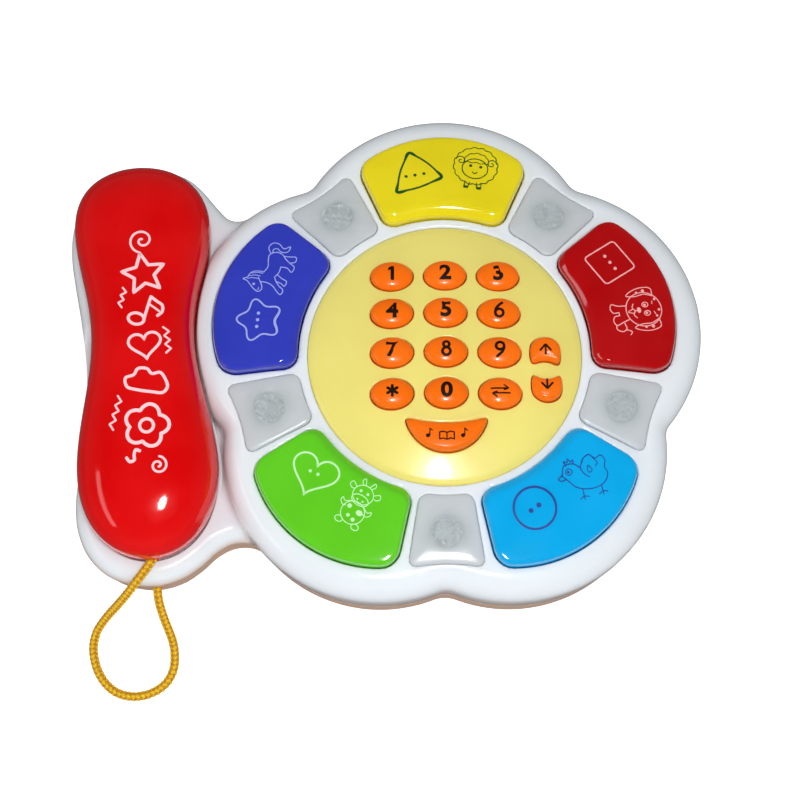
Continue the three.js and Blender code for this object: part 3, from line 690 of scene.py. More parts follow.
def thin(P, keep_from, r):
    """drops points of P that lie closer than r to keep_from"""
    if len(keep_from) == 0 or len(P) == 0:
        return P
    cell = {}
    for i, q in enumerate(keep_from):
        cell.setdefault((int(q[0] // r), int(q[1] // r)), []).append(i)
    K = np.asarray(keep_from)[:, :2]
    ok = np.ones(len(P), bool)
    for i, p in enumerate(P):
        cx, cy = int(p[0] // r), int(p[1] // r)
        for dx in (-1, 0, 1):
            for dy in (-1, 0, 1):
                c = cell.get((cx + dx, cy + dy))
                if c and (np.hypot(K[c, 0] - p[0], K[c, 1] - p[1]) < r).any():
                    ok[i] = False
                    break
            if not ok[i]:
                break
    return P[ok]


def cdt(outer, holes, points):
    """triangles of the region inside outer and outside the holes; the first vertices are outer, then the holes"""
    loops = [outer] + list(holes)
    V, E = [], []
    for L in loops:
        b = len(V); n = len(L)
        V += [(float(p[0]), float(p[1])) for p in L]
        E += [(b + i, b + (i + 1) % n) for i in range(n)]
    V += [(float(p[0]), float(p[1])) for p in points]
    res = delaunay_2d_cdt([Vector(v) for v in V], E, [], 0, 1e-5)
    vo, faces = np.array([tuple(v) for v in res[0]]), np.array([tuple(f) for f in res[2] if len(f) == 3])
    orig = res[3]
    c = vo[faces].mean(1)
    ok = inside_poly(outer, c[:, 0], c[:, 1])
    for h in holes:
        ok &= ~inside_poly(h, c[:, 0], c[:, 1])
    faces = faces[ok]
    a, b2, c2 = vo[faces[:, 0]], vo[faces[:, 1]], vo[faces[:, 2]]
    ar = (b2[:, 0] - a[:, 0]) * (c2[:, 1] - a[:, 1]) - (b2[:, 1] - a[:, 1]) * (c2[:, 0] - a[:, 0])
    faces = np.where((ar > 0)[:, None], faces, faces[:, ::-1])
    faces = faces[np.abs(ar) > 1e-9]
    # map: original index -> output index
    back = {}
    for o, src in enumerate(orig):
        for q in src:
            back[q] = o
    return vo, faces, back, [len(L) for L in loops]


def grid_points(poly_box, step):
    x0, x1, y0, y1 = poly_box
    xs, ys = np.arange(x0, x1, step), np.arange(y0, y1, step * 0.866)
    out = []
    for j, y in enumerate(ys):
        out.append(np.column_stack([xs + (step / 2 if j % 2 else 0), np.full(len(xs), y)]))
    return np.concatenate(out)


# ------------------------------------------------------------------ white upper shell
def ring_height_flower(x, y, i):
    r = np.hypot(x, y)
    A = 40 - 2.6 * (np.maximum(r - 55, 0) / 35) ** 1.3
    g = np.sqrt(np.maximum(1 - (1 - np.clip(i, 0, 8) / 8) ** 2, 0))
    return 29 + (A - 29) * g


def ring_height_cradle(i):
    g = np.sqrt(np.maximum(1 - (1 - np.clip(i, 0, 6) / 6) ** 2, 0))
    return 18 + 6.3 * g


FIL = 3.2
SCOOP = (-22.0, 16.0)


def shell_height(x, y, ic=None, i_f=None, hs=None):
    """height of the white shell's upper face at design-frame points"""
    x, y = np.asarray(x, float), np.asarray(y, float)
    if i_f is None:
        i_f = flower_inset(x, y)
    if ic is None:
        ic = cradle_inset(x, y)
    if hs is None:
        hs = handset_out(x, y)
    hf = np.where(i_f >= 0, ring_height_flower(x, y, i_f), -1e3)
    hc = np.where(ic > -0.5, ring_height_cradle(np.maximum(ic, 0)), -1e3)
    # fillet where the flower's flank meets the cradle
    d = np.clip(-i_f, 0, FIL)
    hc2 = hc + np.where((i_f < 0) & (i_f > -FIL), FIL - np.sqrt(np.maximum(FIL ** 2 - (FIL - d) ** 2, 0)), 0) * step01(-0.5, 1.5, ic)
    h = np.maximum(hf, hc2)
    # opening cut for the handset, its edge eased
    e = np.clip((hs - 0.55) / 1.0, 0, 1)
    h = np.where(hs > 0.55, h - np.where(hf > 27, 1.0 * (1 - np.sqrt(np.maximum(1 - (1 - e) ** 2, 0))), 0), np.minimum(np.maximum(hc, np.where(i_f > 0, 24.3, -1e3)), 24.3))
    # pocket under the handset
    u, t = hs_local(x, y)
    s = np.clip(t, T_LO, T_HI)
    dd = np.where(hs < 0, -hs, 0)
    pocket = 24.3 - (24.3 - 18.5) * step01(0.9, 2.6, dd)
    h = np.where(hs < 0, np.minimum(h, pocket), h)
    # finger recess beside the grip
    w = step01(SCOOP[0] - 2.0, SCOOP[0] + 6.0, y) * (1 - step01(SCOOP[1] - 6.0, SCOOP[1] + 2.0, y)) * (1 - step01(-113.4, -111.6, x))
    h = np.where(w > 0, np.minimum(h, h * (1 - w) + np.minimum(h, 18.5) * w), h)
    return h


def union_boundary():
    """outline of flower and cradle together, counter-clockwise, with a flag 0 flower, 1 cradle"""
    F = resample(flower_ring(0, 1440), 0.9, True)
    fl_out = cradle_inset(F[:, 0], F[:, 1]) < 0
    # rotate so that the run of points outside the cradle is contiguous
    i0 = next(i for i in range(len(F)) if fl_out[i] and not fl_out[i - 1])
    F = np.roll(F, -i0, 0); fl_out = np.roll(fl_out, -i0)
    n = next(i for i in range(len(F)) if not fl_out[i])
    A = F[:n]
    C = resample(CR_LINE, 0.9, True)
    c_out = flower_inset(C[:, 0], C[:, 1]) < 0
    j0 = next(i for i in range(len(C)) if c_out[i] and not c_out[i - 1])
    C = np.roll(C, -j0, 0); c_out = np.roll(c_out, -j0)
    m = next(i for i in range(len(C)) if not c_out[i])
    B = C[:m]
    return np.vstack([A, B]), np.concatenate([np.zeros(len(A)), np.ones(len(B))])


UB, UB_KIND = union_boundary()

petal_hole = lambda s, n=110: level_ring(petal_f, 0, 70, -0.4 - s, n)
lens_hole = lambda s, n=72: level_ring(lens_f, 0, 66, -0.25 - s, n)


def top_shell():
    bl = bevel_steps(13)                                   # 0..1
    holes, hole_pts, free = [], [], []                     # free: x, y, z
    lip = lambda s, r: -r * (1 - math.sqrt(max(0.0, 1 - (1 - min(s / r, 1)) ** 2)))
    def add_rings(make, angles, r=0.7, steps=(0.0, 0.08, 0.25, 0.5, 0.85, 1.5, 2.4)):
        for a in angles:
            for k, s in enumerate(steps):
                q = rot(make(s), a - 90)
                z = shell_height(q[:, 0], q[:, 1]) + lip(s, r)
                if k == 0:
                    holes.append(q); hole_pts.append(z)
                else:
                    free.append(np.column_stack([q, z]))
    add_rings(petal_hole, LOBES)
    add_rings(lens_hole, NOTCHES, 0.5, (0.0, 0.08, 0.2, 0.42, 0.8, 1.4))
    dr = [0.0, 0.08, 0.25, 0.5, 0.85, 1.5]
    for k, s in enumerate(dr):
        q = circle(DISC_R + 0.35 + s, 260)
        z = shell_height(q[:, 0], q[:, 1]) + lip(s, 0.8)
        if k == 0:
            holes.append(q); hole_pts.append(z)
        else:
            free.append(np.column_stack([q, z]))
    first = np.vstack(free)
    rims = []
    # flower rim rings
    for b in bl:
        i = 8 * b
        if b == 0:
            q = flower_ring(0.0005, 620)
            keep = cradle_inset(q[:, 0], q[:, 1]) > 0.25      # elsewhere the outline itself is there
            q = q[keep]; i = 0.0
        else:
            q = flower_ring(i, 620 if i < 3 else 460)
        hs = handset_out(q[:, 0], q[:, 1])
        q, hs = q[hs > 0.8], hs[hs > 0.8]
        z = shell_height(q[:, 0], q[:, 1], i_f=np.full(len(q), i if i > 0 else 0.0), hs=hs)
        rims.append(np.column_stack([q, z]))
    for d in (0.03, 0.12, 0.3, 0.65, 1.2, 1.9, 2.6, 3.3):      # fillet onto the cradle
        q = flower_ring(-d, 620)
        ic = cradle_inset(q[:, 0], q[:, 1]); hs = handset_out(q[:, 0], q[:, 1])
        k = (ic > 0.5) & (hs > 0.8)
        q = q[k]
        rims.append(np.column_stack([q, shell_height(q[:, 0], q[:, 1], i_f=np.full(len(q), -d), ic=ic[k], hs=hs[k])]))
    # handset clearance and pocket
    def hs_off(g, step=0.9):
        return resample(hs_ring(1, 0, g)[:, :2], step, True)
    for g, side in ((0.58, 1), (0.64, 1), (0.76, 1), (0.98, 1), (1.3, 1), (1.7, 1), (2.3, 1), (0.5, -1), (0.1, -1), (-0.8, -1), (-1.2, -1), (-1.6, -1), (-2.0, -1), (-2.6, -1), (-4, -1)):
        q = hs_off(g)
        fi, ic = flower_inset(q[:, 0], q[:, 1]), cradle_inset(q[:, 0], q[:, 1])
        k = (np.maximum(fi, ic) > 0.4)
        if side > 0:
            k &= (fi > 0.0) | (g > 0.7)
        q = q[k]
        hs = np.full(len(q), g)
        rims.append(np.column_stack([q, shell_height(q[:, 0], q[:, 1], hs=hs)]))
    # cradle rim rings
    nrm = loop_normals(CR_LINE)
    for b in bl[1:]:
        i = 6 * b
        q = resample(CR_LINE, 0.9, True); nn = loop_normals(q)
        q = q - nn * i
        ic = cradle_inset(q[:, 0], q[:, 1]); fi = flower_inset(q[:, 0], q[:, 1]); hs = handset_out(q[:, 0], q[:, 1])
        k = (ic > i * 0.9) & (fi < 0.1)
        q = q[k]
        rims.append(np.column_stack([q, shell_height(q[:, 0], q[:, 1], ic=np.full(len(q), i), hs=hs[k])]))
    for yy in (SCOOP[0] - 0.6, SCOOP[0] + 0.2, SCOOP[0] + 1.0, SCOOP[0] + 1.8, SCOOP[0] + 2.4, SCOOP[1] - 2.4, SCOOP[1] - 1.8, SCOOP[1] - 1.0, SCOOP[1] - 0.2, SCOOP[1] + 0.6):
        xs = np.arange(-134, -111, 0.6)
        q = np.column_stack([xs, np.full(len(xs), yy)])
        ic = cradle_inset(q[:, 0], q[:, 1])
        q = q[ic > 0.3]
        rims.append(np.column_stack([q, shell_height(q[:, 0], q[:, 1])]))
    g = grid_points((-143, 100, -100, 100), 2.1)
    fi, ic = flower_inset(g[:, 0], g[:, 1]), cradle_inset(g[:, 0], g[:, 1])
    g = g[np.maximum(fi, ic) > 0.8]
    g3 = np.column_stack([g, shell_height(g[:, 0], g[:, 1])])
    bz = np.where(UB_KIND == 0, 29.0, 18.0)
    # merge, each later set keeps its distance from the earlier ones
    hp = np.vstack([np.column_stack([h, z]) for h, z in zip(holes, hole_pts)])
    taken = np.vstack([hp, first])
    pts = [first]
    jump = []
    for R in rims:
        if len(R) == 0:
            continue
        R = thin(R, taken, 0.34)
        R = thin(R, np.column_stack([UB, bz]), 0.02)
        pts.append(R)
    body = np.vstack(pts)
    G = thin(g3, np.vstack([body, hp, np.column_stack([UB, bz])]), 1.15)
    free_all = np.vstack([body, G])
    # points outside the region or in the holes go
    ok = inside_poly(UB, free_all[:, 0], free_all[:, 1])
    for h in holes:
        ok &= ~inside_poly(h, free_all[:, 0], free_all[:, 1])
    free_all = free_all[ok]
    vo, faces, back, sizes = cdt(UB, holes, free_all[:, :2])
    zs = np.concatenate([bz] + hole_pts + [free_all[:, 2]])
    z = np.zeros(len(vo)); seen = np.zeros(len(vo), bool)
    for q, o in back.items():
        if not seen[o] or zs[q] > z[o]:
            z[o] = zs[q]; seen[o] = True
    if (~seen).any():
        z[~seen] = shell_height(vo[~seen, 0], vo[~seen, 1])
    top = np.column_stack([vo, z])
    # inner skin: lower by the wall, drawn in at the rim
    e = 0.05
    iu = lambda x, y: np.maximum(flower_inset(x, y), cradle_inset(x, y))
    v0 = iu(vo[:, 0], vo[:, 1])
    gx = (iu(vo[:, 0] + e, vo[:, 1]) - iu(vo[:, 0] - e, vo[:, 1])) / (2 * e)
    gy = (iu(vo[:, 0], vo[:, 1] + e) - iu(vo[:, 0], vo[:, 1] - e)) / (2 * e)
    gl = np.maximum(np.hypot(gx, gy), 1e-6)
    w = 2.2 * np.clip(1 - v0 / 9, 0, 1)
    nb = np.column_stack([gx / gl, gy / gl]) * w[:, None]
    n_b = sizes[0]
    bo = np.array([back[i] for i in range(n_b)])
    nrm = loop_normals(UB)
    nb[bo] = -nrm * 2.2
    inner = np.column_stack([vo + nb, z - 2.2])
    V = [top, inner]; F = [tuple(f) for f in faces] + [tuple(len(top) + i for i in f[::-1]) for f in faces]
    n0 = 2 * len(top)
    # walls of the openings
    s = n_b
    for L in sizes[1:]:
        idx = [back[s + i] for i in range(L)]
        for i in range(L):
            a, b2 = idx[i], idx[(i + 1) % L]
            F.append((b2, a, len(top) + a, len(top) + b2))
        s += L
    # outer flank down to the parting line, lip, and inner flank
    levels = []
    for k in np.linspace(0, 1, 9)[1:]:
        zk = bz + (15.2 - bz) * k
        ins = np.where(UB_KIND == 0, 1.6 * k ** 1.5, 0.9 * k ** 1.3)
        levels.append(np.column_stack([UB - nrm * ins[:, None], zk]))
    base_in = np.column_stack([UB - nrm * np.where(UB_KIND == 0, 3.8, 3.1)[:, None], np.full(n_b, 15.2)])
    mid_in = np.column_stack([UB - nrm * 2.9, np.maximum(bz - 8, 15.6)])
    levels += [base_in, mid_in]
    prev = list(bo)
    for Lv in levels:
        V.append(Lv)
        cur = list(range(n0, n0 + n_b)); n0 += n_b
        for i in range(n_b):
            j = (i + 1) % n_b
            F.append((prev[j], prev[i], cur[i], cur[j]))
        prev = cur
    cur = [len(top) + b for b in bo]
    for i in range(n_b):
        j = (i + 1) % n_b
        F.append((prev[j], prev[i], cur[i], cur[j]))
    return mesh_obj("upper_shell", np.vstack(V), F, WHITE, sharp=48)


upper = top_shell()
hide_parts("base_top_shell"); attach(upper, "base")


# ------------------------------------------------------------------ number pad
def rise(x, y):
    return 46.4 - 6.5 * (np.hypot(x, y) / DISC_R) ** 2


KEY_X, KEY_Y = [-19.1, 0.3, 19.6], [28.6, 13.6, -1.6, -16.9]


def ellipse(a, b, x, y, n=72):
    t = (np.arange(n) + 0.5) * 2 * np.pi / n
    return np.column_stack([x + a * np.cos(t), y + b * np.sin(t)])


KEYS = []
for _n, _i, _j in [("1", 0, 0), ("2", 1, 0), ("3", 2, 0), ("4", 0, 1), ("5", 1, 1), ("6", 2, 1), ("7", 0, 2), ("8", 1, 2), ("9", 2, 2),
                   ("star", 0, 3), ("0", 1, 3), ("mode", 2, 3)]:
    KEYS.append(("key_" + _n, (lambda ins, n=72, X=KEY_X[_i], Y=KEY_Y[_j]: ellipse(7.7 - ins, 5.6 - ins, X, Y, n)), KEY_X[_i], KEY_Y[_j]))
KEYS.append(("key_up", (lambda ins, n=72: level_ring(up_f, 36.2, -1, ins, n, 20)), 36.2, -0.5))
KEYS.append(("key_down", (lambda ins, n=72: level_ring(down_f, 36.5, -13.6, ins, n, 20)), 36.5, -14))
KEYS.append(("key_smile", (lambda ins, n=110: level_ring(smile_f, 0.3, -32, ins * 0.85, n, 30)), 0.3, -32))


def disc():
    holes, hz, free = [], [], []
    for name, ring, cx, cy in KEYS:
        for k, s in enumerate((0.0, 0.07, 0.2, 0.4, 0.8, 1.5)):
            q = ring(-0.35 - s)
            z = rise(q[:, 0], q[:, 1]) - 0.4 * (1 - math.sqrt(max(0, 1 - (1 - min(s / 0.4, 1)) ** 2)))
            if k == 0:
                holes.append(q); hz.append(z)
            else:
                free.append(np.column_stack([q, z]))
    outer = circle(DISC_R + 0.3, 260)
    oz = np.full(260, 38.9)
    rims = []
    for s in (0.05, 0.16, 0.36, 0.66, 1.05, 1.55, 2.1, 2.8):
        q = circle(DISC_R + 0.3 - s, 260)
        e = min(s / 2.4, 1)
        rims.append(np.column_stack([q, rise(q[:, 0], q[:, 1]) - 1.0 * (1 - math.sqrt(max(0, 1 - (1 - e) ** 2)))]))
    P = np.vstack(free)
    # rings of neighbouring keys must not run into each other's openings
    ok = np.hypot(P[:, 0], P[:, 1]) < DISC_R - 2.9
    for h in holes:
        ok &= ~inside_poly(h, P[:, 0], P[:, 1])
    P = P[ok]
    g = grid_points((-50, 50, -50, 50), 1.9)
    g = g[np.hypot(g[:, 0], g[:, 1]) < DISC_R - 3.4]
    hp = np.vstack([np.column_stack([h, z]) for h, z in zip(holes, hz)])
    G = thin(np.column_stack([g, rise(g[:, 0], g[:, 1])]), np.vstack([P, hp]), 1.0)
    R = np.vstack(rims)
    free_all = np.vstack([P, R, G])
    ok = np.ones(len(free_all), bool)
    for h in holes:
        ok &= ~inside_poly(h, free_all[:, 0], free_all[:, 1])
    free_all = free_all[ok]
    vo, faces, back, sizes = cdt(outer, holes, free_all[:, :2])
    zs = np.concatenate([oz] + hz + [free_all[:, 2]])
    z = np.full(len(vo), -1e9)
    for q, o in back.items():
        z[o] = max(z[o], zs[q])
    z = np.where(z < 0, rise(vo[:, 0], vo[:, 1]), z)
    top = np.column_stack([vo, z]); nT = len(top)
    low = np.column_stack([vo * np.where(np.hypot(vo[:, 0], vo[:, 1]) > 40, 0.955, 1.0)[:, None] if False else vo, z - 2.2])
    r = np.hypot(vo[:, 0], vo[:, 1])
    sc = np.where(r > 44, (44 + (r - 44) * (47.2 - 44) / (DISC_R - 44)) / np.maximum(r, 1e-6), 1.0)
    low[:, :2] = vo * sc[:, None]
    V = [top, low]; F = [tuple(f) for f in faces] + [tuple(nT + i for i in f[::-1]) for f in faces]
    s = sizes[0]
    for L in sizes[1:]:
        idx = [back[s + i] for i in range(L)]
        for i in range(L):
            a, b2 = idx[i], idx[(i + 1) % L]
            F.append((b2, a, nT + a, nT + b2))
        s += L
    n0 = 2 * nT
    prev = [back[i] for i in range(sizes[0])]
    for rr, zz in ((DISC_R + 0.3, 37.5), (DISC_R + 0.3, 36.2), (52.6, 36.2), (52.6, 34.4), (47.2, 34.4)):
        V.append(z_on(circle(rr, 260), zz))
        cur = list(range(n0, n0 + 260)); n0 += 260
        for i in range(260):
            j = (i + 1) % 260
            F.append((prev[j], prev[i], cur[i], cur[j]))
        prev = cur
    cur = [nT + back[i] for i in range(sizes[0])]
    for i in range(260):
        j = (i + 1) % 260
        F.append((prev[j], prev[i], cur[i], cur[j]))
    return mesh_obj("number_pad", np.vstack(V), F, DISC, sharp=45)


pad = disc()
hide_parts("keypad_bezel"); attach(pad, "base")


# ------------------------------------------------------------------ decals: thin inked shapes that follow a surface
class Ink:
    """closed thin ribbons and patches, lifted just clear of the face they are printed on"""

    def __init__(self, height, xf=lambda p: p, lift=0.035, sink=0.12):
        self.h, self.xf, self.lift, self.sink, self.k = height, xf, lift, sink, 0
        self.b = Build()

    def _place(self, q):
        return self.xf(np.asarray(q, float))

    def stroke(self, P, w, closed=False, taper=0.0, step=0.28):
        """round-ended line of width w along P, in print coordinates"""
        P = np.asarray(P, float)
        P = resample(P, step, closed)
        if closed:
            P = np.vstack([P, P[:1]])
        n = len(P)
        T = np.gradient(P, axis=0)
        if closed:
            T[0] = T[-1] = P[1] - P[-2]
        T /= np.linalg.norm(T, axis=1)[:, None] + 1e-12
        Nn = np.column_stack([-T[:, 1], T[:, 0]])
        hw = np.full(n, w / 2.0)
        if taper:
            s = np.linspace(0, 1, n)
            hw *= 1 - taper * np.abs(2 * s - 1) ** 2
        C, W, D = [], [], []
        if not closed:
            for a in (0.0, 0.45, 0.8, 0.97):
                C.append(P[0] - T[0] * hw[0] * math.sqrt(1 - a * a) * 1.0); W.append(max(a, 0.05) * hw[0]); D.append(Nn[0])
        for i in range(n):
            C.append(P[i]); W.append(hw[i]); D.append(Nn[i])
        if not closed:
            for a in (0.97, 0.8, 0.45, 0.0):
                C.append(P[-1] + T[-1] * hw[-1] * math.sqrt(1 - a * a)); W.append(max(a, 0.05) * hw[-1]); D.append(Nn[-1])
        C, W, D = np.array(C), np.array(W)[:, None], np.array(D)
        self.k += 1
        lift = self.lift + 0.0015 * (self.k % 9)
        lines = []
        for f in (-1.0, -0.5, 0.0, 0.5, 1.0):
            q = self._place(C + D * W * f)
            lines.append(np.column_stack([q, self.h(q[:, 0], q[:, 1]) + lift]))
        for f in (1.0, -1.0):
            q = self._place(C + D * W * f)
            lines.append(np.column_stack([q, self.h(q[:, 0], q[:, 1]) - self.sink]))
        rings = np.stack(lines, 1)                          # along, around, xyz
        rings = [r for r in rings]
        v, f = loft(rings, not closed, not closed)
        a, b2, c = v[f[0][0]], v[f[0][1]], v[f[0][2]]
        self.b.add(v, f)
        return self

    def patch(self, loops, step=0.8, bold=0.0):
        """filled shape between closed loops (even-odd)"""
        loops = [np.asarray(L, float) for L in loops]
        allp = np.vstack(loops)
        V, E = [], []
        for L in loops:
            b = len(V); n = len(L)
            V += [Vector((float(p[0]), float(p[1]))) for p in L]
            E += [(b + i, b + (i + 1) % n) for i in range(n)]
        nb = len(V)
        g = grid_points((allp[:, 0].min(), allp[:, 0].max(), allp[:, 1].min(), allp[:, 1].max()), step)
        ins = np.zeros(len(g), int)
        for L in loops:
            ins += inside_poly(L, g[:, 0], g[:, 1])
        g = thin(g[ins % 2 == 1], allp, step * 0.5) if (ins % 2 == 1).any() else np.zeros((0, 2))
        V += [Vector((float(p[0]), float(p[1]))) for p in g]
        res = delaunay_2d_cdt(V, E, [], 0, 1e-5)
        vo = np.array([tuple(v) for v in res[0]]); fc = np.array([tuple(f) for f in res[2] if len(f) == 3])
        c = vo[fc].mean(1)
        ins = np.zeros(len(c), int)
        for L in loops:
            ins += inside_poly(L, c[:, 0], c[:, 1])
        fc = fc[ins % 2 == 1]
        q = self._place(vo)
        a, b2, c2 = q[fc[:, 0]], q[fc[:, 1]], q[fc[:, 2]]
        ar = (b2[:, 0] - a[:, 0]) * (c2[:, 1] - a[:, 1]) - (b2[:, 1] - a[:, 1]) * (c2[:, 0] - a[:, 0])
        fc = np.where((ar > 0)[:, None], fc, fc[:, ::-1])
        self.k += 1
        lift = self.lift + 0.0015 * (self.k % 9)
        h = self.h(q[:, 0], q[:, 1])
        n = len(q)
        Vv = np.vstack([np.column_stack([q, h + lift]), np.column_stack([q, h - self.sink])])
        F = [tuple(f) for f in fc] + [tuple(n + i for i in f[::-1]) for f in fc]
        cnt = {}
        for f in fc:
            for i in range(3):
                e = (f[i], f[(i + 1) % 3])
                if (e[1], e[0]) in cnt:
                    del cnt[(e[1], e[0])]
                else:
                    cnt[e] = 1
        for (i, j) in cnt:
            F.append((j, i, n + i, n + j))
        self.b.add(Vv, F)
        return self

    def dot(self, x, y, r, n=20, sx=1.0, sy=1.0):
        t = np.arange(n) * 2 * np.pi / n
        return self.patch([np.column_stack([x + r * sx * np.cos(t), y + r * sy * np.sin(t)])])


def arc(cx, cy, r, a0, a1, n=24, sx=1.0, sy=1.0):
    t = np.radians(np.linspace(a0, a1, n))
    return np.column_stack([cx + r * sx * np.cos(t), cy + r * sy * np.sin(t)])


def spline(P, closed=False, per=10):
    return catmull(np.asarray(P, float), closed, per)


def glyph_loops(ch, height, bold=0.0):
    """outline loops of a character from Blender's built-in font, centred, with that cap height"""
    cu = bpy.data.curves.new("g", "FONT")
    cu.body = ch; cu.size = 1.0; cu.offset = bold; cu.resolution_u = 8; cu.fill_mode = "BOTH"
    o = link(bpy.data.objects.new("g", cu))
    bpy.context.view_layer.update()
    me = o.evaluated_get(bpy.context.evaluated_depsgraph_get()).to_mesh()
    v = np.array([tuple(p.co)[:2] for p in me.vertices])
    cnt = {}
    for p in me.polygons:
        vs = list(p.vertices)
        for i in range(len(vs)):
            e = (vs[i], vs[(i + 1) % len(vs)])
            if (e[1], e[0]) in cnt:
                del cnt[(e[1], e[0])]
            else:
                cnt[e] = 1
    nxt = {a: b for a, b in cnt}
    loops = []
    while nxt:
        s = next(iter(nxt)); L = [s]; c = nxt.pop(s)
        while c != s and c in nxt:
            L.append(c); c = nxt.pop(c)
        if len(L) > 3:
            loops.append(v[L])
    bpy.data.objects.remove(o); bpy.data.curves.remove(cu)
    a = np.vstack(loops)
    lo, hi = a.min(0), a.max(0)
    k = height / (hi[1] - lo[1]) if ch != "*" else height / (hi[1] - lo[1])
    return [(L - (lo + hi) / 2) * k for L in loops]


# ------------------------------------------------------------------ keys
def key_piece(name, ring, cx, cy):
    z0 = float(rise(cx, cy))
    low = float(rise(math.hypot(cx, cy) + 8, 0)) - 2.6
    topz = z0 + 2.7
    rings = [z_on(ring(-1.1), 32.4), z_on(ring(-1.1), low - 0.6), z_on(ring(0.0), low), z_on(ring(0.0), z0 + 0.3)]
    if name not in ("key_up", "key_down", "key_smile"):
        ax, by = 7.7, 5.6
        dome = lambda q: topz + 0.32 - 1.25 * q ** 2 - 1.25 * (1 - np.sqrt(np.maximum(1 - q ** 7, 0)))
        edge = ring(0.0); c = np.array([cx, cy])
        for q in (1.0, 0.998, 0.992, 0.98, 0.962, 0.935, 0.9, 0.85, 0.78, 0.68, 0.56, 0.42, 0.27, 0.12):
            rings.append(z_on(c + (edge - c) * q, float(dome(np.array(q)))))
        hh = lambda x, y: dome(np.clip(np.hypot((np.asarray(x) - cx) / ax, (np.asarray(y) - cy) / by), 0, 1))
    else:
        R = 1.9
        for a in np.linspace(0, np.pi / 2, 10)[1:]:
            rings.append(z_on(ring(R * (1 - math.cos(a))), topz - R + R * math.sin(a)))
        edge = ring(R); c = edge.mean(0)
        crown = 0.42
        for q in (0.93, 0.82, 0.66, 0.48, 0.3, 0.14):
            rings.append(z_on(c + (edge - c) * q, topz + crown * (1 - q * q)))
        th_e = np.arctan2(edge[:, 1] - c[1], edge[:, 0] - c[0]); o_e = np.argsort(th_e)
        r_e = np.hypot(edge[:, 0] - c[0], edge[:, 1] - c[1])[o_e]; th_e = th_e[o_e]
        def hh(x, y):
            dx, dy = np.asarray(x) - c[0], np.asarray(y) - c[1]
            rr = np.interp(np.arctan2(dy, dx), th_e, r_e, period=2 * np.pi)
            return topz + crown * (1 - np.clip(np.hypot(dx, dy) / rr, 0, 1) ** 2)
    v, f = loft(rings)
    b = Build().add(v, f, 0)
    ink = Ink(hh)
    off = np.array([cx, cy])
    word = name[4:]
    if word == "1":
        P = np.array([[0.75, -2.7], [0.75, 2.75], [-0.35, 2.75], [-1.35, 1.95], [-1.35, 0.85], [-0.5, 1.35], [-0.5, -2.7]])
        ink.patch([resample(P * 1.03, 0.5, True)[::1] + off + [0.1, 0.5]], 0.7)
    elif word in "69" and len(word) == 1:
        k = 1 if word == "6" else -1
        mid_y = off[1] + 0.45
        ink.stroke(arc(off[0] + 0.1, mid_y - k * 1.18, 1.45, 0, 360, 44)[:-1], 1.02, True)
        P = spline(np.array([[1.05, 2.75], [0.1, 1.95], [-0.85, 0.9], [-1.38, -0.35], [-1.45, -1.18]]) * k)
        ink.stroke(P + [off[0] + 0.1, mid_y], 1.02)
    elif word == "8":
        ink.stroke(arc(off[0] + 0.1, off[1] + 1.95, 1.08, 0, 360, 40, 1.0, 1.0)[:-1], 1.0, True)
        ink.stroke(arc(off[0] + 0.1, off[1] - 0.72, 1.42, 0, 360, 44, 1.0, 1.0)[:-1], 1.05, True)
    elif word.isdigit():
        ink.patch([L * np.array([1.1, 1.0]) + off + [0.1, 0.5] for L in glyph_loops(word, 5.9, 0.04)], 0.7)
    elif word == "star":
        for a in (90, 30, -30):
            d = np.array([math.cos(math.radians(a)), math.sin(math.radians(a))]) * 1.95
            ink.stroke([off + [0.1, 0.4] - d, off + [0.1, 0.4] + d], 1.05)
    elif word == "mode":                                      # generic: two arrows that swap
        o = off + [0, 0.2]
        ink.stroke([o + [-3.3, 0.9], o + [2.6, 0.9]], 0.62).stroke([o + [1.3, 2.2], o + [2.9, 0.95], o + [1.3, 0.4 - 0.1]], 0.55)
        ink.stroke([o + [3.3, -0.9], o + [-2.6, -0.9]], 0.62).stroke([o + [-1.3, -2.2], o + [-2.9, -0.95], o + [-1.3, -0.3]], 0.55)
    elif word == "up":
        o = off + [0, 0.6]
        ink.stroke([o + [-1.9, -0.9], o + [0, 1.3], o + [1.9, -0.9]], 0.75).stroke([o + [0, 1.0], o + [0, -2.2]], 0.75)
    elif word == "down":
        o = off + [0, 0.4]
        ink.stroke([o + [-1.9, 0.5], o + [0, -1.7], o + [1.9, 0.5]], 0.75).stroke([o + [0, -1.4], o + [0, 1.9]], 0.75)
    else:                                                     # generic: an open book between two notes
        o = np.array([0.3, -33.2])
        ink.stroke([o + [-2.6, 1.3], o + [-1.3, 1.6], o + [0, 1.1], o + [1.3, 1.6], o + [2.6, 1.3]], 0.5)
        ink.stroke([o + [-2.6, -1.2], o + [-1.3, -0.9], o + [0, -1.4], o + [1.3, -0.9], o + [2.6, -1.2]], 0.5)
        ink.stroke([o + [-2.6, 1.3], o + [-2.6, -1.2]], 0.5).stroke([o + [2.6, 1.3], o + [2.6, -1.2]], 0.5).stroke([o + [0, 1.1], o + [0, -1.4]], 0.45)
        for sx in (-6.2, 6.2):
            ink.dot(o[0] + sx - 0.5, o[1] - 0.6 + abs(sx) * 0.12, 0.75)
            ink.stroke([o + [sx + 0.15, -0.5 + abs(sx) * 0.12], o + [sx + 0.15, 2.0 + abs(sx) * 0.12]], 0.42)
            ink.stroke([o + [sx + 0.15, 2.0 + abs(sx) * 0.12], o + [sx + 1.1, 1.2 + abs(sx) * 0.12]], 0.42)
    vv = np.vstack(ink.b.v)
    b.add(vv, ink.b.f, 1)
    o = b.obj(name + "_cap", [KEY, INK_DARK], sharp=50)
    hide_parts(name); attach(o, name)
    return o


for _k in KEYS:
    key_piece(*_k)


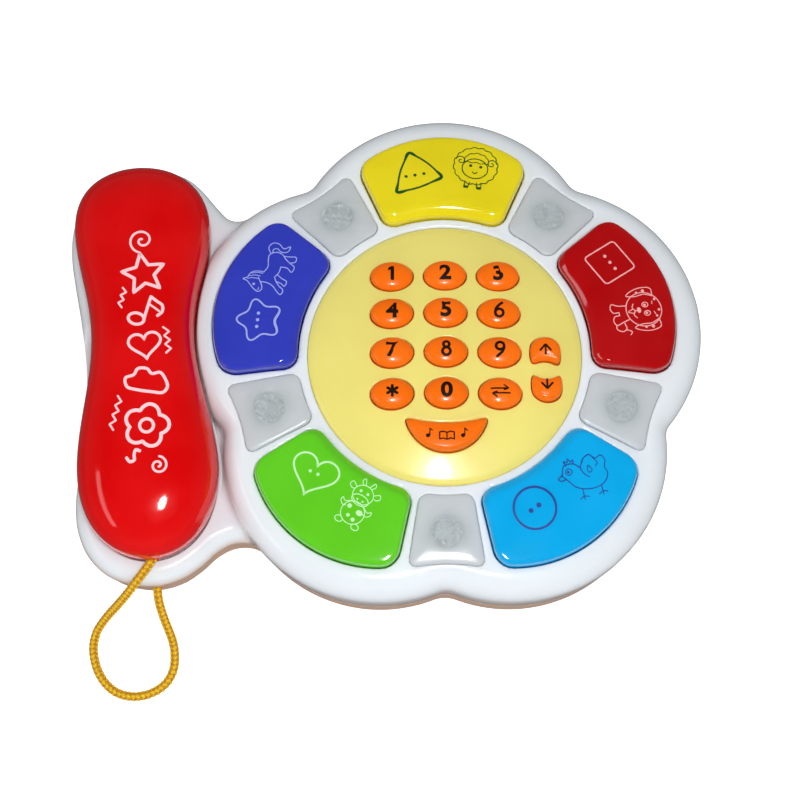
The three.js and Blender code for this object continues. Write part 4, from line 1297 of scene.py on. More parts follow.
# ------------------------------------------------------------------ picture buttons
def petal_z(x, y):
    return 44.4 - 3.2 * (np.hypot(x, y) - 57) / 29


_PR = {}


def petal_rings():
    """rings of one picture button in its own frame, +Y outwards"""
    if _PR:
        return _PR["r"], _PR["c"]
    n = 132
    prof = [(-0.6, 0, None, 33.0), (-0.6, 0, None, 34.2), (0, 0, None, 34.4), (0, 0, -3.4, None), (0.01, 0.02, -2.75, None), (0.04, 0.22, -2.4, None),
            (0.09, 0.6, -2.05, None), (0.17, 1.1, -1.6, None), (0.28, 1.6, -1.12, None), (0.42, 2.1, -0.68, None), (0.62, 2.55, -0.36, None), (0.92, 3.0, -0.15, None),
            (1.35, 3.5, -0.03, None), (2.0, 4.0, 0.05, None), (3.0, 4.5, 0.1, None), (4.4, 5.0, 0.15, None), (6.0, 5.0, 0.2, None), (8.0, 5.0, 0.24, None)]
    rings = [z_on(petal_ring(2.2, n), 33.0)]
    for ins, inner, dz, zz in prof:
        q = petal_ring(ins, n, inner)
        rings.append(np.column_stack([q, (petal_z(q[:, 0], q[:, 1]) + dz) if zz is None else np.full(n, zz)]))
    last = rings[-1][:, :2]; c = np.array([0, last[:, 1].mean()])
    for s in (0.8, 0.55, 0.3, 0.1):
        q = c + (last - c) * s
        rings.append(np.column_stack([q, petal_z(q[:, 0], q[:, 1]) + 0.24 + 0.14 * (1 - s * s)]))
    _PR["r"], _PR["c"] = rings, c
    return rings, c


def petal_top(a):
    """height of the printed face in the design frame, for the button at lobe direction a"""
    def h(x, y):
        q = rot(np.column_stack([x, y]), 90 - a)
        ins = -petal_f(q[:, 0], q[:, 1])
        base = petal_z(q[:, 0], q[:, 1])
        return base + np.interp(ins, [0.92, 1.35, 2.0, 3.0, 4.4, 6.0, 8.0, 14], [-0.15, -0.03, 0.05, 0.1, 0.15, 0.2, 0.24, 0.36])
    return h


def frame_xf(cx, cy, deg, s=1.0):
    def xf(p):
        q = rot(np.asarray(p, float) * s, deg)
        q[:, 0] += cx; q[:, 1] += cy
        return q
    return xf


def draw_lamb(k):
    t = np.radians(np.arange(0, 360, 2.0))
    r = 8.0 + 0.55 * np.abs(np.sin(8 * t))
    k.stroke(np.column_stack([r * np.cos(t), 0.2 + r * 0.97 * np.sin(t)]), 0.38, True)
    t2 = np.radians(np.arange(0, 360, 3.0))
    k.stroke(np.column_stack([-0.1 + 4.9 * np.cos(t2), -1.0 + 4.3 * np.sin(t2)]), 0.42, True)
    t3 = np.linspace(0, np.pi, 60)
    k.stroke(np.column_stack([-4.6 * np.cos(t3), 2.2 + 3.4 * np.sin(t3) + 0.35 * np.abs(np.sin(5 * t3))]), 0.38)
    t4 = np.linspace(0, np.pi, 50)
    k.stroke(np.column_stack([-4.4 * np.cos(t4), 1.9 - 0.5 * np.abs(np.sin(4 * t4))]), 0.36)
    k.dot(-1.9, 0.1, 0.62).dot(2.0, 0.0, 0.62)
    k.stroke(arc(0, -2.2, 0.9, 200, 340, 12), 0.4)
    for s in (-1, 1):
        th = np.linspace(0.2, 2.6 * np.pi, 60)
        rr = 2.1 - 0.22 * th
        k.stroke(np.column_stack([s * (5.9 + rr * np.cos(th) * 0.95), 1.9 + rr * np.sin(th)]), 0.38)
        k.stroke([[s * 2.2 - 0.9, -7.2], [s * 2.5 - 0.8, -9.6], [s * 2.5 + 0.7, -9.6], [s * 2.2 + 0.9, -7.2]], 0.38)
        k.patch([np.array([[s * 2.5 - 0.8, -9.7], [s * 2.5 + 0.75, -9.7], [s * 2.5 + 0.7, -8.7], [s * 2.5 - 0.75, -8.7]])])


def draw_pony(k):
    w = 0.36
    k.stroke(spline([[-8.4, 4.6], [-9.9, 2.2], [-10.4, 0.2], [-9.2, -0.7], [-7.6, -0.1], [-6.2, 1.2], [-5.0, 2.4]]), w)
    k.stroke(spline([[-8.4, 4.6], [-7.6, 6.0], [-7.4, 7.6], [-6.2, 6.2], [-4.8, 6.0], [-3.4, 5.0], [-2.6, 3.0], [-2.4, 1.2]]), w)
    for i, dx in enumerate((0, 1.3, 2.6)):
        k.stroke(spline([[-6.8 + dx, 6.1 - 0.4 * i], [-5.9 + dx, 4.4 - 0.5 * i], [-5.6 + dx, 2.4 - 0.5 * i]]), 0.3)
    k.dot(-8.1, 2.9, 0.5)
    k.stroke(arc(-9.2, 0.9, 0.5, 190, 330, 8), 0.28)
    k.stroke(spline([[-6.4, 0.8], [-6.0, -1.6], [-6.6, -4.2], [-8.2, -6.6], [-8.8, -8.2], [-6.8, -8.4], [-5.8, -6.4], [-4.4, -4.6], [-3.0, -3.4]]), w)
    k.stroke(spline([[-4.4, -4.6], [-4.6, -6.8], [-5.2, -8.2], [-3.2, -8.4], [-2.6, -6.2], [-1.8, -4.2]]), w)
    k.stroke(spline([[-3.0, -3.4], [-0.6, -4.2], [1.6, -4.0]]), w)
    k.stroke(spline([[1.6, -4.0], [2.0, -6.4], [1.0, -8.6], [3.2, -8.8], [4.2, -6.6], [5.2, -4.6], [6.6, -2.6], [6.8, -0.4], [5.8, 1.4]]), w)
    k.stroke(spline([[4.2, -6.6], [5.4, -8.4], [7.2, -7.9], [6.6, -5.6], [6.2, -3.6]]), w)
    k.stroke(spline([[-2.4, 1.2], [0.2, 0.6], [2.6, 1.5], [4.6, 2.0], [5.8, 1.4]]), w)
    k.stroke(spline([[5.6, 1.8], [7.6, 3.4], [9.8, 2.6], [10.2, 0.2], [9.0, -2.2], [10.6, -4.2], [8.2, -4.0], [7.4, -1.8], [8.2, 0.2], [7.4, 1.4], [6.2, 1.2]]), w)


def draw_calf(k):
    w = 0.38
    k.stroke(np.column_stack([4.6 * np.cos(np.radians(np.arange(0, 360, 4))), 4.2 + 4.2 * np.sin(np.radians(np.arange(0, 360, 4)))]), w, True)
    k.stroke(np.column_stack([3.9 * np.cos(np.radians(np.arange(0, 360, 4))), 1.6 + 2.3 * np.sin(np.radians(np.arange(0, 360, 4)))]), w, True)
    for s in (-1, 1):
        k.stroke(spline([[s * 2.0, 8.0], [s * 3.2, 9.8], [s * 2.4, 11.0], [s * 1.4, 9.4], [s * 0.9, 8.4]]), w)
        k.stroke(spline([[s * 4.2, 6.2], [s * 6.6, 7.6], [s * 7.4, 6.0], [s * 6.0, 4.8], [s * 4.6, 4.9]]), w)
        k.dot(s * 1.7, 5.4, 0.62).dot(s * 1.3, 1.6, 0.42)
        k.stroke(spline([[s * 3.2, -0.4], [s * 5.6, -1.6], [s * 7.0, -0.6], [s * 7.2, -2.2], [s * 5.4, -3.6], [s * 4.2, -3.2]]), w)
        k.stroke(np.column_stack([s * 4.0 + 1.7 * np.cos(np.radians(np.arange(0, 360, 8))), -9.6 + 1.3 * np.sin(np.radians(np.arange(0, 360, 8)))]), w, True)
    k.stroke(np.column_stack([5.2 * np.cos(np.radians(np.arange(0, 360, 4))), -4.6 + 5.0 * np.sin(np.radians(np.arange(0, 360, 4)))]), w, True)
    k.dot(-2.6, -2.6, 1.0).dot(2.6, -3.4, 1.5, sx=1.0, sy=0.8).dot(-1.2, -6.4, 0.8).dot(1.6, -7.2, 0.9)
    k.stroke(arc(0, 1.2, 1.0, 210, 330, 10), 0.34)


def draw_chick(k):
    w = 0.42
    k.stroke(spline([[-9.4, 2.2], [-7.6, 5.6], [-3.6, 5.4], [-1.8, 3.6], [0.2, 6.2], [3.0, 7.4], [5.0, 5.4], [7.4, 6.0], [8.6, 3.8], [7.6, 1.4], [8.0, -1.4],
                     [6.2, -4.2], [2.6, -5.6], [-2.0, -5.2], [-5.6, -3.4], [-7.6, -0.6], [-9.4, 2.2]]), w)
    k.stroke(np.column_stack([-6.4 + 1.25 * np.cos(np.radians(np.arange(0, 360, 8))), 2.9 + 1.25 * np.sin(np.radians(np.arange(0, 360, 8)))]), 0.36, True)
    k.dot(-6.6, 2.9, 0.55)
    k.stroke(spline([[-9.2, 2.4], [-11.2, 1.2], [-10.2, 0.2], [-8.2, 0.4]]), w)
    k.stroke(spline([[-6.8, 5.4], [-7.2, 7.4], [-6.0, 6.6], [-5.4, 8.0], [-4.6, 6.6], [-3.6, 7.0], [-3.8, 5.6]]), w)
    k.stroke(spline([[0.2, 6.0], [-1.6, 3.2], [-0.8, 0.6], [0.6, -1.0]]), w)
    k.stroke(spline([[1.6, 3.4], [2.6, 1.4], [1.2, 0.6], [0.8, 2.2], [1.6, 3.4]]), 0.36)
    k.stroke(spline([[4.2, 5.8], [5.4, 3.6], [4.2, 2.4]]), 0.36)
    for x in (-3.4, 4.2):
        k.stroke([[x, -5.0], [x - 0.2, -7.6]], w).stroke([[x - 1.9, -8.4], [x - 0.2, -7.6], [x + 1.6, -8.2]], w).stroke([[x - 0.2, -7.6], [x - 0.2, -9.0]], w)


def draw_puppy(k):
    w = 0.36
    k.stroke(arc(0, 0, 6.7, 0, 360, 90)[:-1], w, True)
    for s in (-1, 1):
        k.stroke(spline([[s * 4.6, 4.6], [s * 7.6, 4.6], [s * 8.6, 0.8], [s * 7.6, -3.6], [s * 6.4, -5.2], [s * 5.6, -2.2], [s * 5.8, 1.6], [s * 4.6, 4.6]]), w)
        k.dot(s * 7.2, 1.6, 0.62).dot(s * 6.9, -1.0, 0.5)
        k.stroke(np.column_stack([s * 1.7 + 0.95 * np.cos(np.radians(np.arange(0, 360, 10))), 0.9 + 1.15 * np.sin(np.radians(np.arange(0, 360, 10)))]), 0.34, True)
        k.dot(s * 1.6, 0.7, 0.5)
        k.stroke(spline([[s * 0.2, -3.4], [s * 1.4, -4.2], [s * 2.8, -3.4]]), 0.34)
        k.stroke([[s * 1.6, 3.6], [s * 2.6, 3.9]], 0.3)
    k.dot(0, -1.9, 0.95, sx=1.2, sy=0.8)
    k.stroke([[0, -2.2], [0, -3.6]], 0.34)
    k.stroke(spline([[-0.9, -4.0], [0, -6.0], [0.9, -4.0]]), 0.34)
    k.dot(-3.2, 5.0, 0.5).dot(1.2, 5.6, 0.5).dot(3.4, 4.2, 0.45)
    k.stroke(spline([[-2.6, -6.2], [-3.2, -9.4], [-4.2, -11.6], [-2.4, -12.4], [-0.8, -11.6], [-0.6, -9.6]]), w)
    k.stroke(spline([[2.8, -6.2], [3.6, -9.2], [4.2, -11.6], [2.4, -12.4], [0.8, -11.6], [0.6, -9.6]]), w)
    k.stroke([[-0.6, -9.6], [0.6, -9.6]], w)
    k.stroke(spline([[4.0, -8.6], [6.2, -8.4], [7.0, -10.2], [5.6, -12.0], [4.2, -11.8]]), w)
    k.stroke(spline([[6.4, -8.8], [7.8, -6.8], [8.8, -7.6]]), w)


def petals():
    rings, c = petal_rings()
    centre = {"yellow": None}
    for a, col in zip(LOBES, PETAL_NAMES):
        R = [np.column_stack([rot(r[:, :2], a - 90), r[:, 2]]) for r in rings]
        v, f = loft(R)
        b = Build().add(v, f, 0)
        h = petal_top(a)
        parts = []
        def ink(cx, cy, deg, s=1.0):
            k = Ink(h, frame_xf(cx, cy, deg, s)); parts.append(k); return k
        if col == "yellow":
            k = ink(0, 0, 0)
            tri = np.array([[-12.4, 78.6], [-0.9, 68.6], [-16.6, 62.6]])
            g = tri.mean(0)
            tri = g + (tri - g) * 1.1
            C = []
            for i in range(3):
                q, r = tri[i], tri[(i + 1) % 3]
                C.append(q + (g - q) / np.linalg.norm(g - q) * 0.5)
                for f in (0.25, 0.5, 0.75):
                    mpt = q + (r - q) * f
                    C.append(mpt + (mpt - g) / np.linalg.norm(mpt - g) * 0.85 * math.sin(math.pi * f))
            P = spline(np.array(C), True)
            k.stroke(P, 0.72, True)
            for i in (0, 4, 8):
                j = (i * 10) % len(P)
                k.stroke(np.roll(P, -j + 9, 0)[:19], 1.25, taper=0.35)
            for dx in (-3.3, 0, 3.3):
                ink(-10.3 + dx, 69.4 + dx * 0.18, 10).dot(0, 0, 0.62)
            draw_lamb(ink(12.3, 73.0, -9, 0.98))
        elif col == "purple":
            k = ink(-67.2, 12.0, 84)
            t = np.radians(np.arange(0, 360, 1.5))
            r = 6.85 + 1.3 * np.cos(5 * (t - np.pi / 2)) + 0.16 * np.cos(10 * (t - np.pi / 2))
            k.stroke(np.column_stack([r * np.cos(t), r * np.sin(t)]), 0.62, True)
            sub = (t > np.radians(228)) & (t < np.radians(312))
            k.stroke(np.column_stack([(r * np.cos(t))[sub], (r * np.sin(t))[sub]]), 1.0, taper=0.5)
            for dx in (-2.6, 0, 2.6):
                k.dot(dx, 0.6, 0.62)
            draw_pony(ink(-63.9, 32.6, 68, 0.98))
        elif col == "green":
            k = ink(-47.0, -46.6, -26)
            t = np.radians(np.arange(0, 360, 2.0))
            hx = 8.4 * np.sin(t) ** 3 / 1.0
            hy = (13 * np.cos(t) - 5 * np.cos(2 * t) - 2 * np.cos(3 * t) - np.cos(4 * t)) * 0.5
            k.stroke(np.column_stack([hx * 1.02, hy + 0.6]), 0.72, True)
            k.dot(-1.6, 0.8, 0.6).dot(1.4, 0.8, 0.6)
            draw_calf(ink(-31.2, -57.2, -31, 0.82))
        elif col == "blue":
            k = ink(31.0, -59.0, 36)
            k.stroke(arc(0, 0, 7.5, 0, 360, 120)[:-1], 0.85, True)
            k.dot(-1.7, 0, 0.9).dot(1.7, 0, 0.9)
            draw_chick(ink(49.7, -46.9, 17, 0.92))
        else:
            k = ink(0, 0, 0)
            sq = np.array([[62.4, 43.0], [70.3, 32.7], [59.2, 25.1], [51.3, 35.4]])
            P = []
            for i in range(4):
                p, q, r = sq[i - 1], sq[i], sq[(i + 1) % 4]
                A = q + (p - q) / np.linalg.norm(p - q) * 1.5; B = q + (r - q) / np.linalg.norm(r - q) * 1.5
                for s in np.linspace(0, 1, 6):
                    P.append((1 - s) ** 2 * A + 2 * s * (1 - s) * q + s * s * B)
            k.stroke(np.array(P), 0.52, True)
            for s in (-3.0, 0, 3.0):
                ink(60.9 + s * 0.6, 34.1 - s * 0.8, -54).dot(0, 0, 0.62)
            draw_puppy(ink(72.6, 15.9, -76, 0.98))
        for k in parts:
            b.add(np.vstack(k.b.v), k.b.f, 1)
        o = b.obj("picture_button_" + col, [PETAL[col], INK[col]], sharp=50)
        n = "petal_button_" + col
        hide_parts(n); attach(o, "button_" + col)


petals()


# ------------------------------------------------------------------ light windows: a clear cover over a faceted reflector
def lens_z(x, y):
    return 40.9 - 2.2 * (np.hypot(x, y) - 53) / 27


def windows():
    n = 96
    prof = [(0.1, None, 36.6), (-0.12, -1.6, None), (-0.17, -0.7, None), (-0.12, -0.36, None), (0.1, -0.12, None), (0.5, 0.06, None), (1.2, 0.2, None), (2.4, 0.38, None),
            (4.0, 0.52, None), (6.0, 0.66, None)]
    for idx, a in enumerate(NOTCHES):
        rings = []
        for ins, dz, zz in prof:
            q = lens_ring(ins, n)
            rings.append(np.column_stack([q, (lens_z(q[:, 0], q[:, 1]) + dz) if zz is None else np.full(n, zz)]))
        last = rings[-1][:, :2]; c = last.mean(0)
        for s in (0.7, 0.35):
            q = c + (last - c) * s
            rings.append(np.column_stack([q, lens_z(q[:, 0], q[:, 1]) + 0.66 + 0.12 * (1 - s * s)]))
        R = [np.column_stack([rot(r[:, :2], a - 90), r[:, 2]]) for r in rings]
        v, f = loft(R)
        o = Build().add(v, f, 0).obj("window_cover_%d" % (idx + 1), [LENS], sharp=55)
        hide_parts("light_lens_%d" % (idx + 1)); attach(o, "base")
        # reflector plate: pyramids in a lattice turned 45 degrees
        V, F = [], []
        p = 2.1
        d = p / math.sqrt(2)
        for i in range(-14, 15):
            for j in range(-14, 15):
                cx, cy = (i - j) * d, 66 + (i + j) * d
                if lens_f(np.array([cx]), np.array([cy]))[0] > -1.9:
                    continue
                core = math.hypot(cx, (cy - 66) * 0.85) < 9.5
                hgt = 0.62 if core else 0.2
                z0 = float(lens_z(cx, cy)) - 2.5
                k0 = len(V)
                V += [(cx - d, cy, z0), (cx, cy - d, z0), (cx + d, cy, z0), (cx, cy + d, z0), (cx, cy, z0 + hgt),
                      (cx - d, cy, z0 - 0.5), (cx, cy - d, z0 - 0.5), (cx + d, cy, z0 - 0.5), (cx, cy + d, z0 - 0.5)]
                F += [(k0, k0 + 1, k0 + 4), (k0 + 1, k0 + 2, k0 + 4), (k0 + 2, k0 + 3, k0 + 4), (k0 + 3, k0, k0 + 4), (k0 + 8, k0 + 7, k0 + 6, k0 + 5),
                      (k0, k0 + 5, k0 + 6, k0 + 1), (k0 + 1, k0 + 6, k0 + 7, k0 + 2), (k0 + 2, k0 + 7, k0 + 8, k0 + 3), (k0 + 3, k0 + 8, k0 + 5, k0)]
        V = np.array(V)
        V[:, :2] = rot(V[:, :2], a - 90)
        b = Build().add(V, F, 0)
        rim = [z_on(lens_ring(s, n), z) for s, z in ((0.6, 36.9), (0.6, 37.6), (2.2, 37.6), (2.2, 36.9))]
        rim = [np.column_stack([rot(r[:, :2], a - 90), r[:, 2] + (lens_z(r[:, 0], r[:, 1]) - 40.0)]) for r in rim]
        rim.append(rim[0])
        v, f = loft(rim, False, False)
        b.add(v, f, 0)
        o = b.obj("reflector_%d" % (idx + 1), [FACET], sharp=20)
        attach(o, "base")


windows()


# ------------------------------------------------------------------ handset
def hs_z_outer(k):
    return (1 - min(k, 1.0) ** 2.6) ** (1 / 2.6)


def handset_top_h(x, y):
    """height of the handset's back over a point"""
    u, t = hs_local(np.asarray(x, float), np.asarray(y, float))
    s = np.clip(t, T_LO, T_HI)
    lo, hi = np.zeros(len(u)), np.full(len(u), 1.0)
    # the factor k of the ring through the point, by bisection on the outline scaled towards the axis
    for _ in range(24):
        k = (lo + hi) / 2
        tt = s + (t - s) / np.maximum(k, 1e-6)
        w = (hs_half(np.clip(tt, -HS_L, HS_L)) + np.where(u > 0, hs_add(tt), 0)) * k
        ok = (np.abs(u) < w) & (np.abs(tt) < HS_L)
        lo, hi = np.where(ok, lo, k), np.where(ok, k, hi)
    k = hi
    g = np.power(np.maximum(1 - k ** 2.6, 0), 1 / 2.6)
    return 34 + (hs_top(t) - 34) * g


def handset():
    ks = [1.0, 0.997, 0.99, 0.98, 0.965, 0.945, 0.92, 0.885, 0.84, 0.785, 0.72, 0.64, 0.54, 0.42, 0.28, 0.12]
    outer = [hs_ring(1, 31.75, -0.12), hs_ring(1, 31.9, 0), hs_ring(1, 33.0, 0)]
    for k in ks:
        g = hs_z_outer(k)
        outer.append(hs_ring(k, lambda t, g=g: 34 + (hs_top(t) - 34) * g))
    inner = [hs_ring(1, 31.75, -2.2), hs_ring(1, 34, -2.2)] + [hs_ring(k * 0.92, lambda t, g=hs_z_outer(k): 33 + (hs_top(t) - 35.4) * g) for k in (0.9, 0.7, 0.45, 0.15)]
    outer[-1] = outer[-1]
    v1, f1 = loft(outer, False, True)
    v2, f2 = loft(inner, False, True)
    n = N_HS
    b = Build().add(v1, f1, 0)
    base = b.n
    b.add(v2, [tuple(reversed(f)) for f in f2], 0)
    b.f += [(j, base + j, base + (j + 1) % n, (j + 1) % n) for j in range(n)]; b.m += [0] * n
    k = Ink(handset_top_h, lift=0.04, sink=0.15)
    deco(k)
    b.add(np.vstack(k.b.v), k.b.f, 1)
    back = b.obj("handset_back", [RED, INK_WHITE], sharp=50)
    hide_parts("handset_back_shell"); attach(back, "handset")
    # front half, facing down: grip, two swells with sound holes
    def und(k, g, dz=0.0):
        return hs_ring(k, lambda t: 31.4 - (31.4 - hs_under(t)) * g + dz)
    sup = [(1.0, 0.0), (0.995, 0.08), (0.985, 0.16), (0.965, 0.28), (0.94, 0.42), (0.905, 0.58), (0.86, 0.74), (0.81, 0.87), (0.76, 0.95), (0.7, 0.985), (0.6, 1.0), (0.4, 1.0), (0.2, 1.0), (0.08, 1.0)]
    o2 = [hs_ring(1, 31.45, -0.12), hs_ring(1, 31.3, 0)] + [und(k2, g2) for k2, g2 in sup[1:]]
    i2 = [hs_ring(1, 31.45, -2.2)] + [und(k2 * 0.9, g2, 2.0) for k2, g2 in ((0.9, 0.35), (0.8, 0.75), (0.6, 0.95), (0.2, 1.0))]
    v1, f1 = loft(o2, False, True)
    v2, f2 = loft(i2, False, True)
    b = Build().add(v1, [tuple(reversed(f)) for f in f1], 0)
    base = b.n
    b.add(v2, f2, 0)
    b.f += [((j + 1) % n, base + (j + 1) % n, base + j, j) for j in range(n)]; b.m += [0] * n
    # sound holes and screw seats: a raised ring round a shallow dimple, its floor a black disc as painted shade in
    # place of an open hole
    def ringlet(u, t, r, z, w=0.35, d=0.35, mat=0):
        x, y = hs_world(u, t)
        rr = [circle(r + w, 24, x, y), circle(r + w * 0.5, 24, x, y), circle(r, 24, x, y), circle(r, 24, x, y)]
        zz = [z + 0.25, z - 0.12, z - 0.05, z + 0.8]
        v, f = loft([z_on(q, h) for q, h in zip(rr, zz)], False, False)
        b.add(v, [tuple(reversed(g)) for g in f], mat)
        # black disc at the dimple's floor: painted shade for the hole
        v, f = loft([z_on(circle(r * 0.999, 24, x, y), z - 0.02), z_on(circle(r * 0.6, 24, x, y), z - 0.03)], False, True)
        b.add(v, [tuple(reversed(g)) for g in f], 1)
    for a in range(0, 360, 60):
        ringlet(9 * math.cos(math.radians(a)), 50 + 9 * math.sin(math.radians(a)), 1.15, 18.8)
    for a in (0, 120, 240):
        ringlet(5 * math.cos(math.radians(a + 30)), 50 + 5 * math.sin(math.radians(a + 30)), 0.9, 18.8)
    for a in (0, 72, 144, 216, 288):
        ringlet(7 * math.cos(math.radians(a)), -50 + 7 * math.sin(math.radians(a)) - 2, 0.8, 18.8)
    o = b.obj("handset_front", [RED, BLACK_AND_HOLE_SHADE], sharp=50)
    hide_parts("handset_front_shell"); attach(o, "handset")
    # strain grommet where the cord leaves the tip
    g = []
    for r, y in ((1.7, -71.2), (2.6, -71.2), (2.75, -72.2), (2.5, -73.2), (1.95, -73.6), (1.7, -73.2), (1.7, -71.2)):
        t = np.arange(28) * 2 * np.pi / 28
        g.append(np.column_stack([-104.6 + r * np.cos(t), np.full(28, y), 28.0 + r * np.sin(t)]))
    v, f = loft(g, False, False)
    o = Build().add(v, f, 0).obj("handset_grommet", [RED], sharp=40)
    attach(o, "handset")


def deco(k):
    """generic outlined shapes along the handset's back"""
    def at(cx, cy, deg, s=1.0):
        return frame_xf(cx, cy, deg, s)
    def swirl(cx, cy, deg, r0=3.3, turns=1.5):
        th = np.linspace(0, turns * 2 * np.pi, 70)
        r = 0.5 + (r0 - 0.5) * th / th[-1]
        k.xf = at(cx, cy, deg)
        k.stroke(np.column_stack([r * np.cos(th), r * np.sin(th)]), 0.82)
    def zig(cx, cy, deg, n=4, w=7.0, h=1.5):
        P = [[-w / 2 + w * i / n, h / 2 * (1 if i % 2 else -1)] for i in range(n + 1)]
        k.xf = at(cx, cy, deg)
        k.stroke(P, 0.72)
    swirl(-110.0, 40.8, 100, 4.9, 1.45)
    swirl(-101.3, -44.5, -60, 3.3, 1.4)
    zig(-116.3, 18.4, -104, 5, 7.4, 1.7)
    zig(-99.6, 2.4, -82, 6, 9.8, 1.9)
    zig(-117.0, -25.2, -104, 7, 12.4, 1.9)
    lw = 0.98
    # star
    k.xf = at(-108.9, 27.6, 12, 1.22)
    P = [[(6.6 if i % 2 == 0 else 3.1) * math.cos(math.radians(90 + 36 * i)), (6.6 if i % 2 == 0 else 3.1) * math.sin(math.radians(90 + 36 * i))] for i in range(10)]
    k.stroke(np.array(P + P[:1]), lw)
    # note
    k.xf = at(-107.6, 13.4, -14, 1.1)
    k.stroke(arc(-2.2, -3.6, 2.3, 0, 360, 40, 1.15, 0.85)[:-1], lw, True)
    k.stroke([[0.3, -3.4], [0.3, 5.0]], lw)
    k.stroke(spline([[0.3, 5.0], [2.6, 4.0], [4.6, 3.2], [5.2, 1.0], [4.2, -0.8]]), lw)
    k.stroke(spline([[0.3, 2.4], [2.4, 1.6], [4.2, 0.9]]), 0.7)
    # heart
    k.xf = at(-107.4, 0.0, 10, 0.9)
    t = np.radians(np.arange(0, 360, 2.5))
    k.stroke(np.column_stack([6.4 * np.sin(t) ** 3, (13 * np.cos(t) - 5 * np.cos(2 * t) - 2 * np.cos(3 * t) - np.cos(4 * t)) * 0.38 + 0.5]), 1.1, True)
    # cloud
    k.xf = at(-106.2, -13.9, -8, 1.12)
    k.stroke(spline([[-6.0, -2.4], [-7.0, 0.4], [-4.6, 1.8], [-3.6, 4.0], [-0.8, 4.4], [1.0, 3.0], [3.6, 3.8], [5.6, 1.8], [6.6, -0.4], [5.6, -2.6], [2.0, -3.0], [-2.4, -3.0]], True), lw, True)
    # flower
    k.xf = at(-105.8, -30.0, 6, 1.28)
    t = np.radians(np.arange(0, 360, 2.0))
    r = 5.2 + 1.35 * np.abs(np.cos(2.5 * t)) * 1.2 - 0.6
    k.stroke(np.column_stack([r * np.cos(t), r * np.sin(t)]), lw, True)
    k.stroke(arc(0, 0, 1.9, 0, 360, 40)[:-1], 0.85, True)
    k.xf = at(-109.5, -41.8, 30)
    k.stroke(spline([[-2.6, 1.4], [-2.2, -0.4], [-0.6, -0.6], [0.2, 1.0], [1.6, 2.4], [2.6, 1.4]]), 1.1)


handset()


# ------------------------------------------------------------------ lower shell
SCREWS = [(83.6 * math.cos(math.radians(a - 23.5)), 83.6 * math.sin(math.radians(a - 23.5))) for a in LOBES] + [(-106.5, -38.0), (-112.5, 42.0)]


def rounded_rect(x0, x1, y0, y1, r, n=6):
    out = []
    for cx, cy, a0 in ((x1 - r, y1 - r, 0), (x0 + r, y1 - r, 90), (x0 + r, y0 + r, 180), (x1 - r, y0 + r, 270)):
        for i in range(n + 1):
            a = math.radians(a0 + 90 * i / n)
            out.append([cx + r * math.cos(a), cy + r * math.sin(a)])
    return np.array(out)


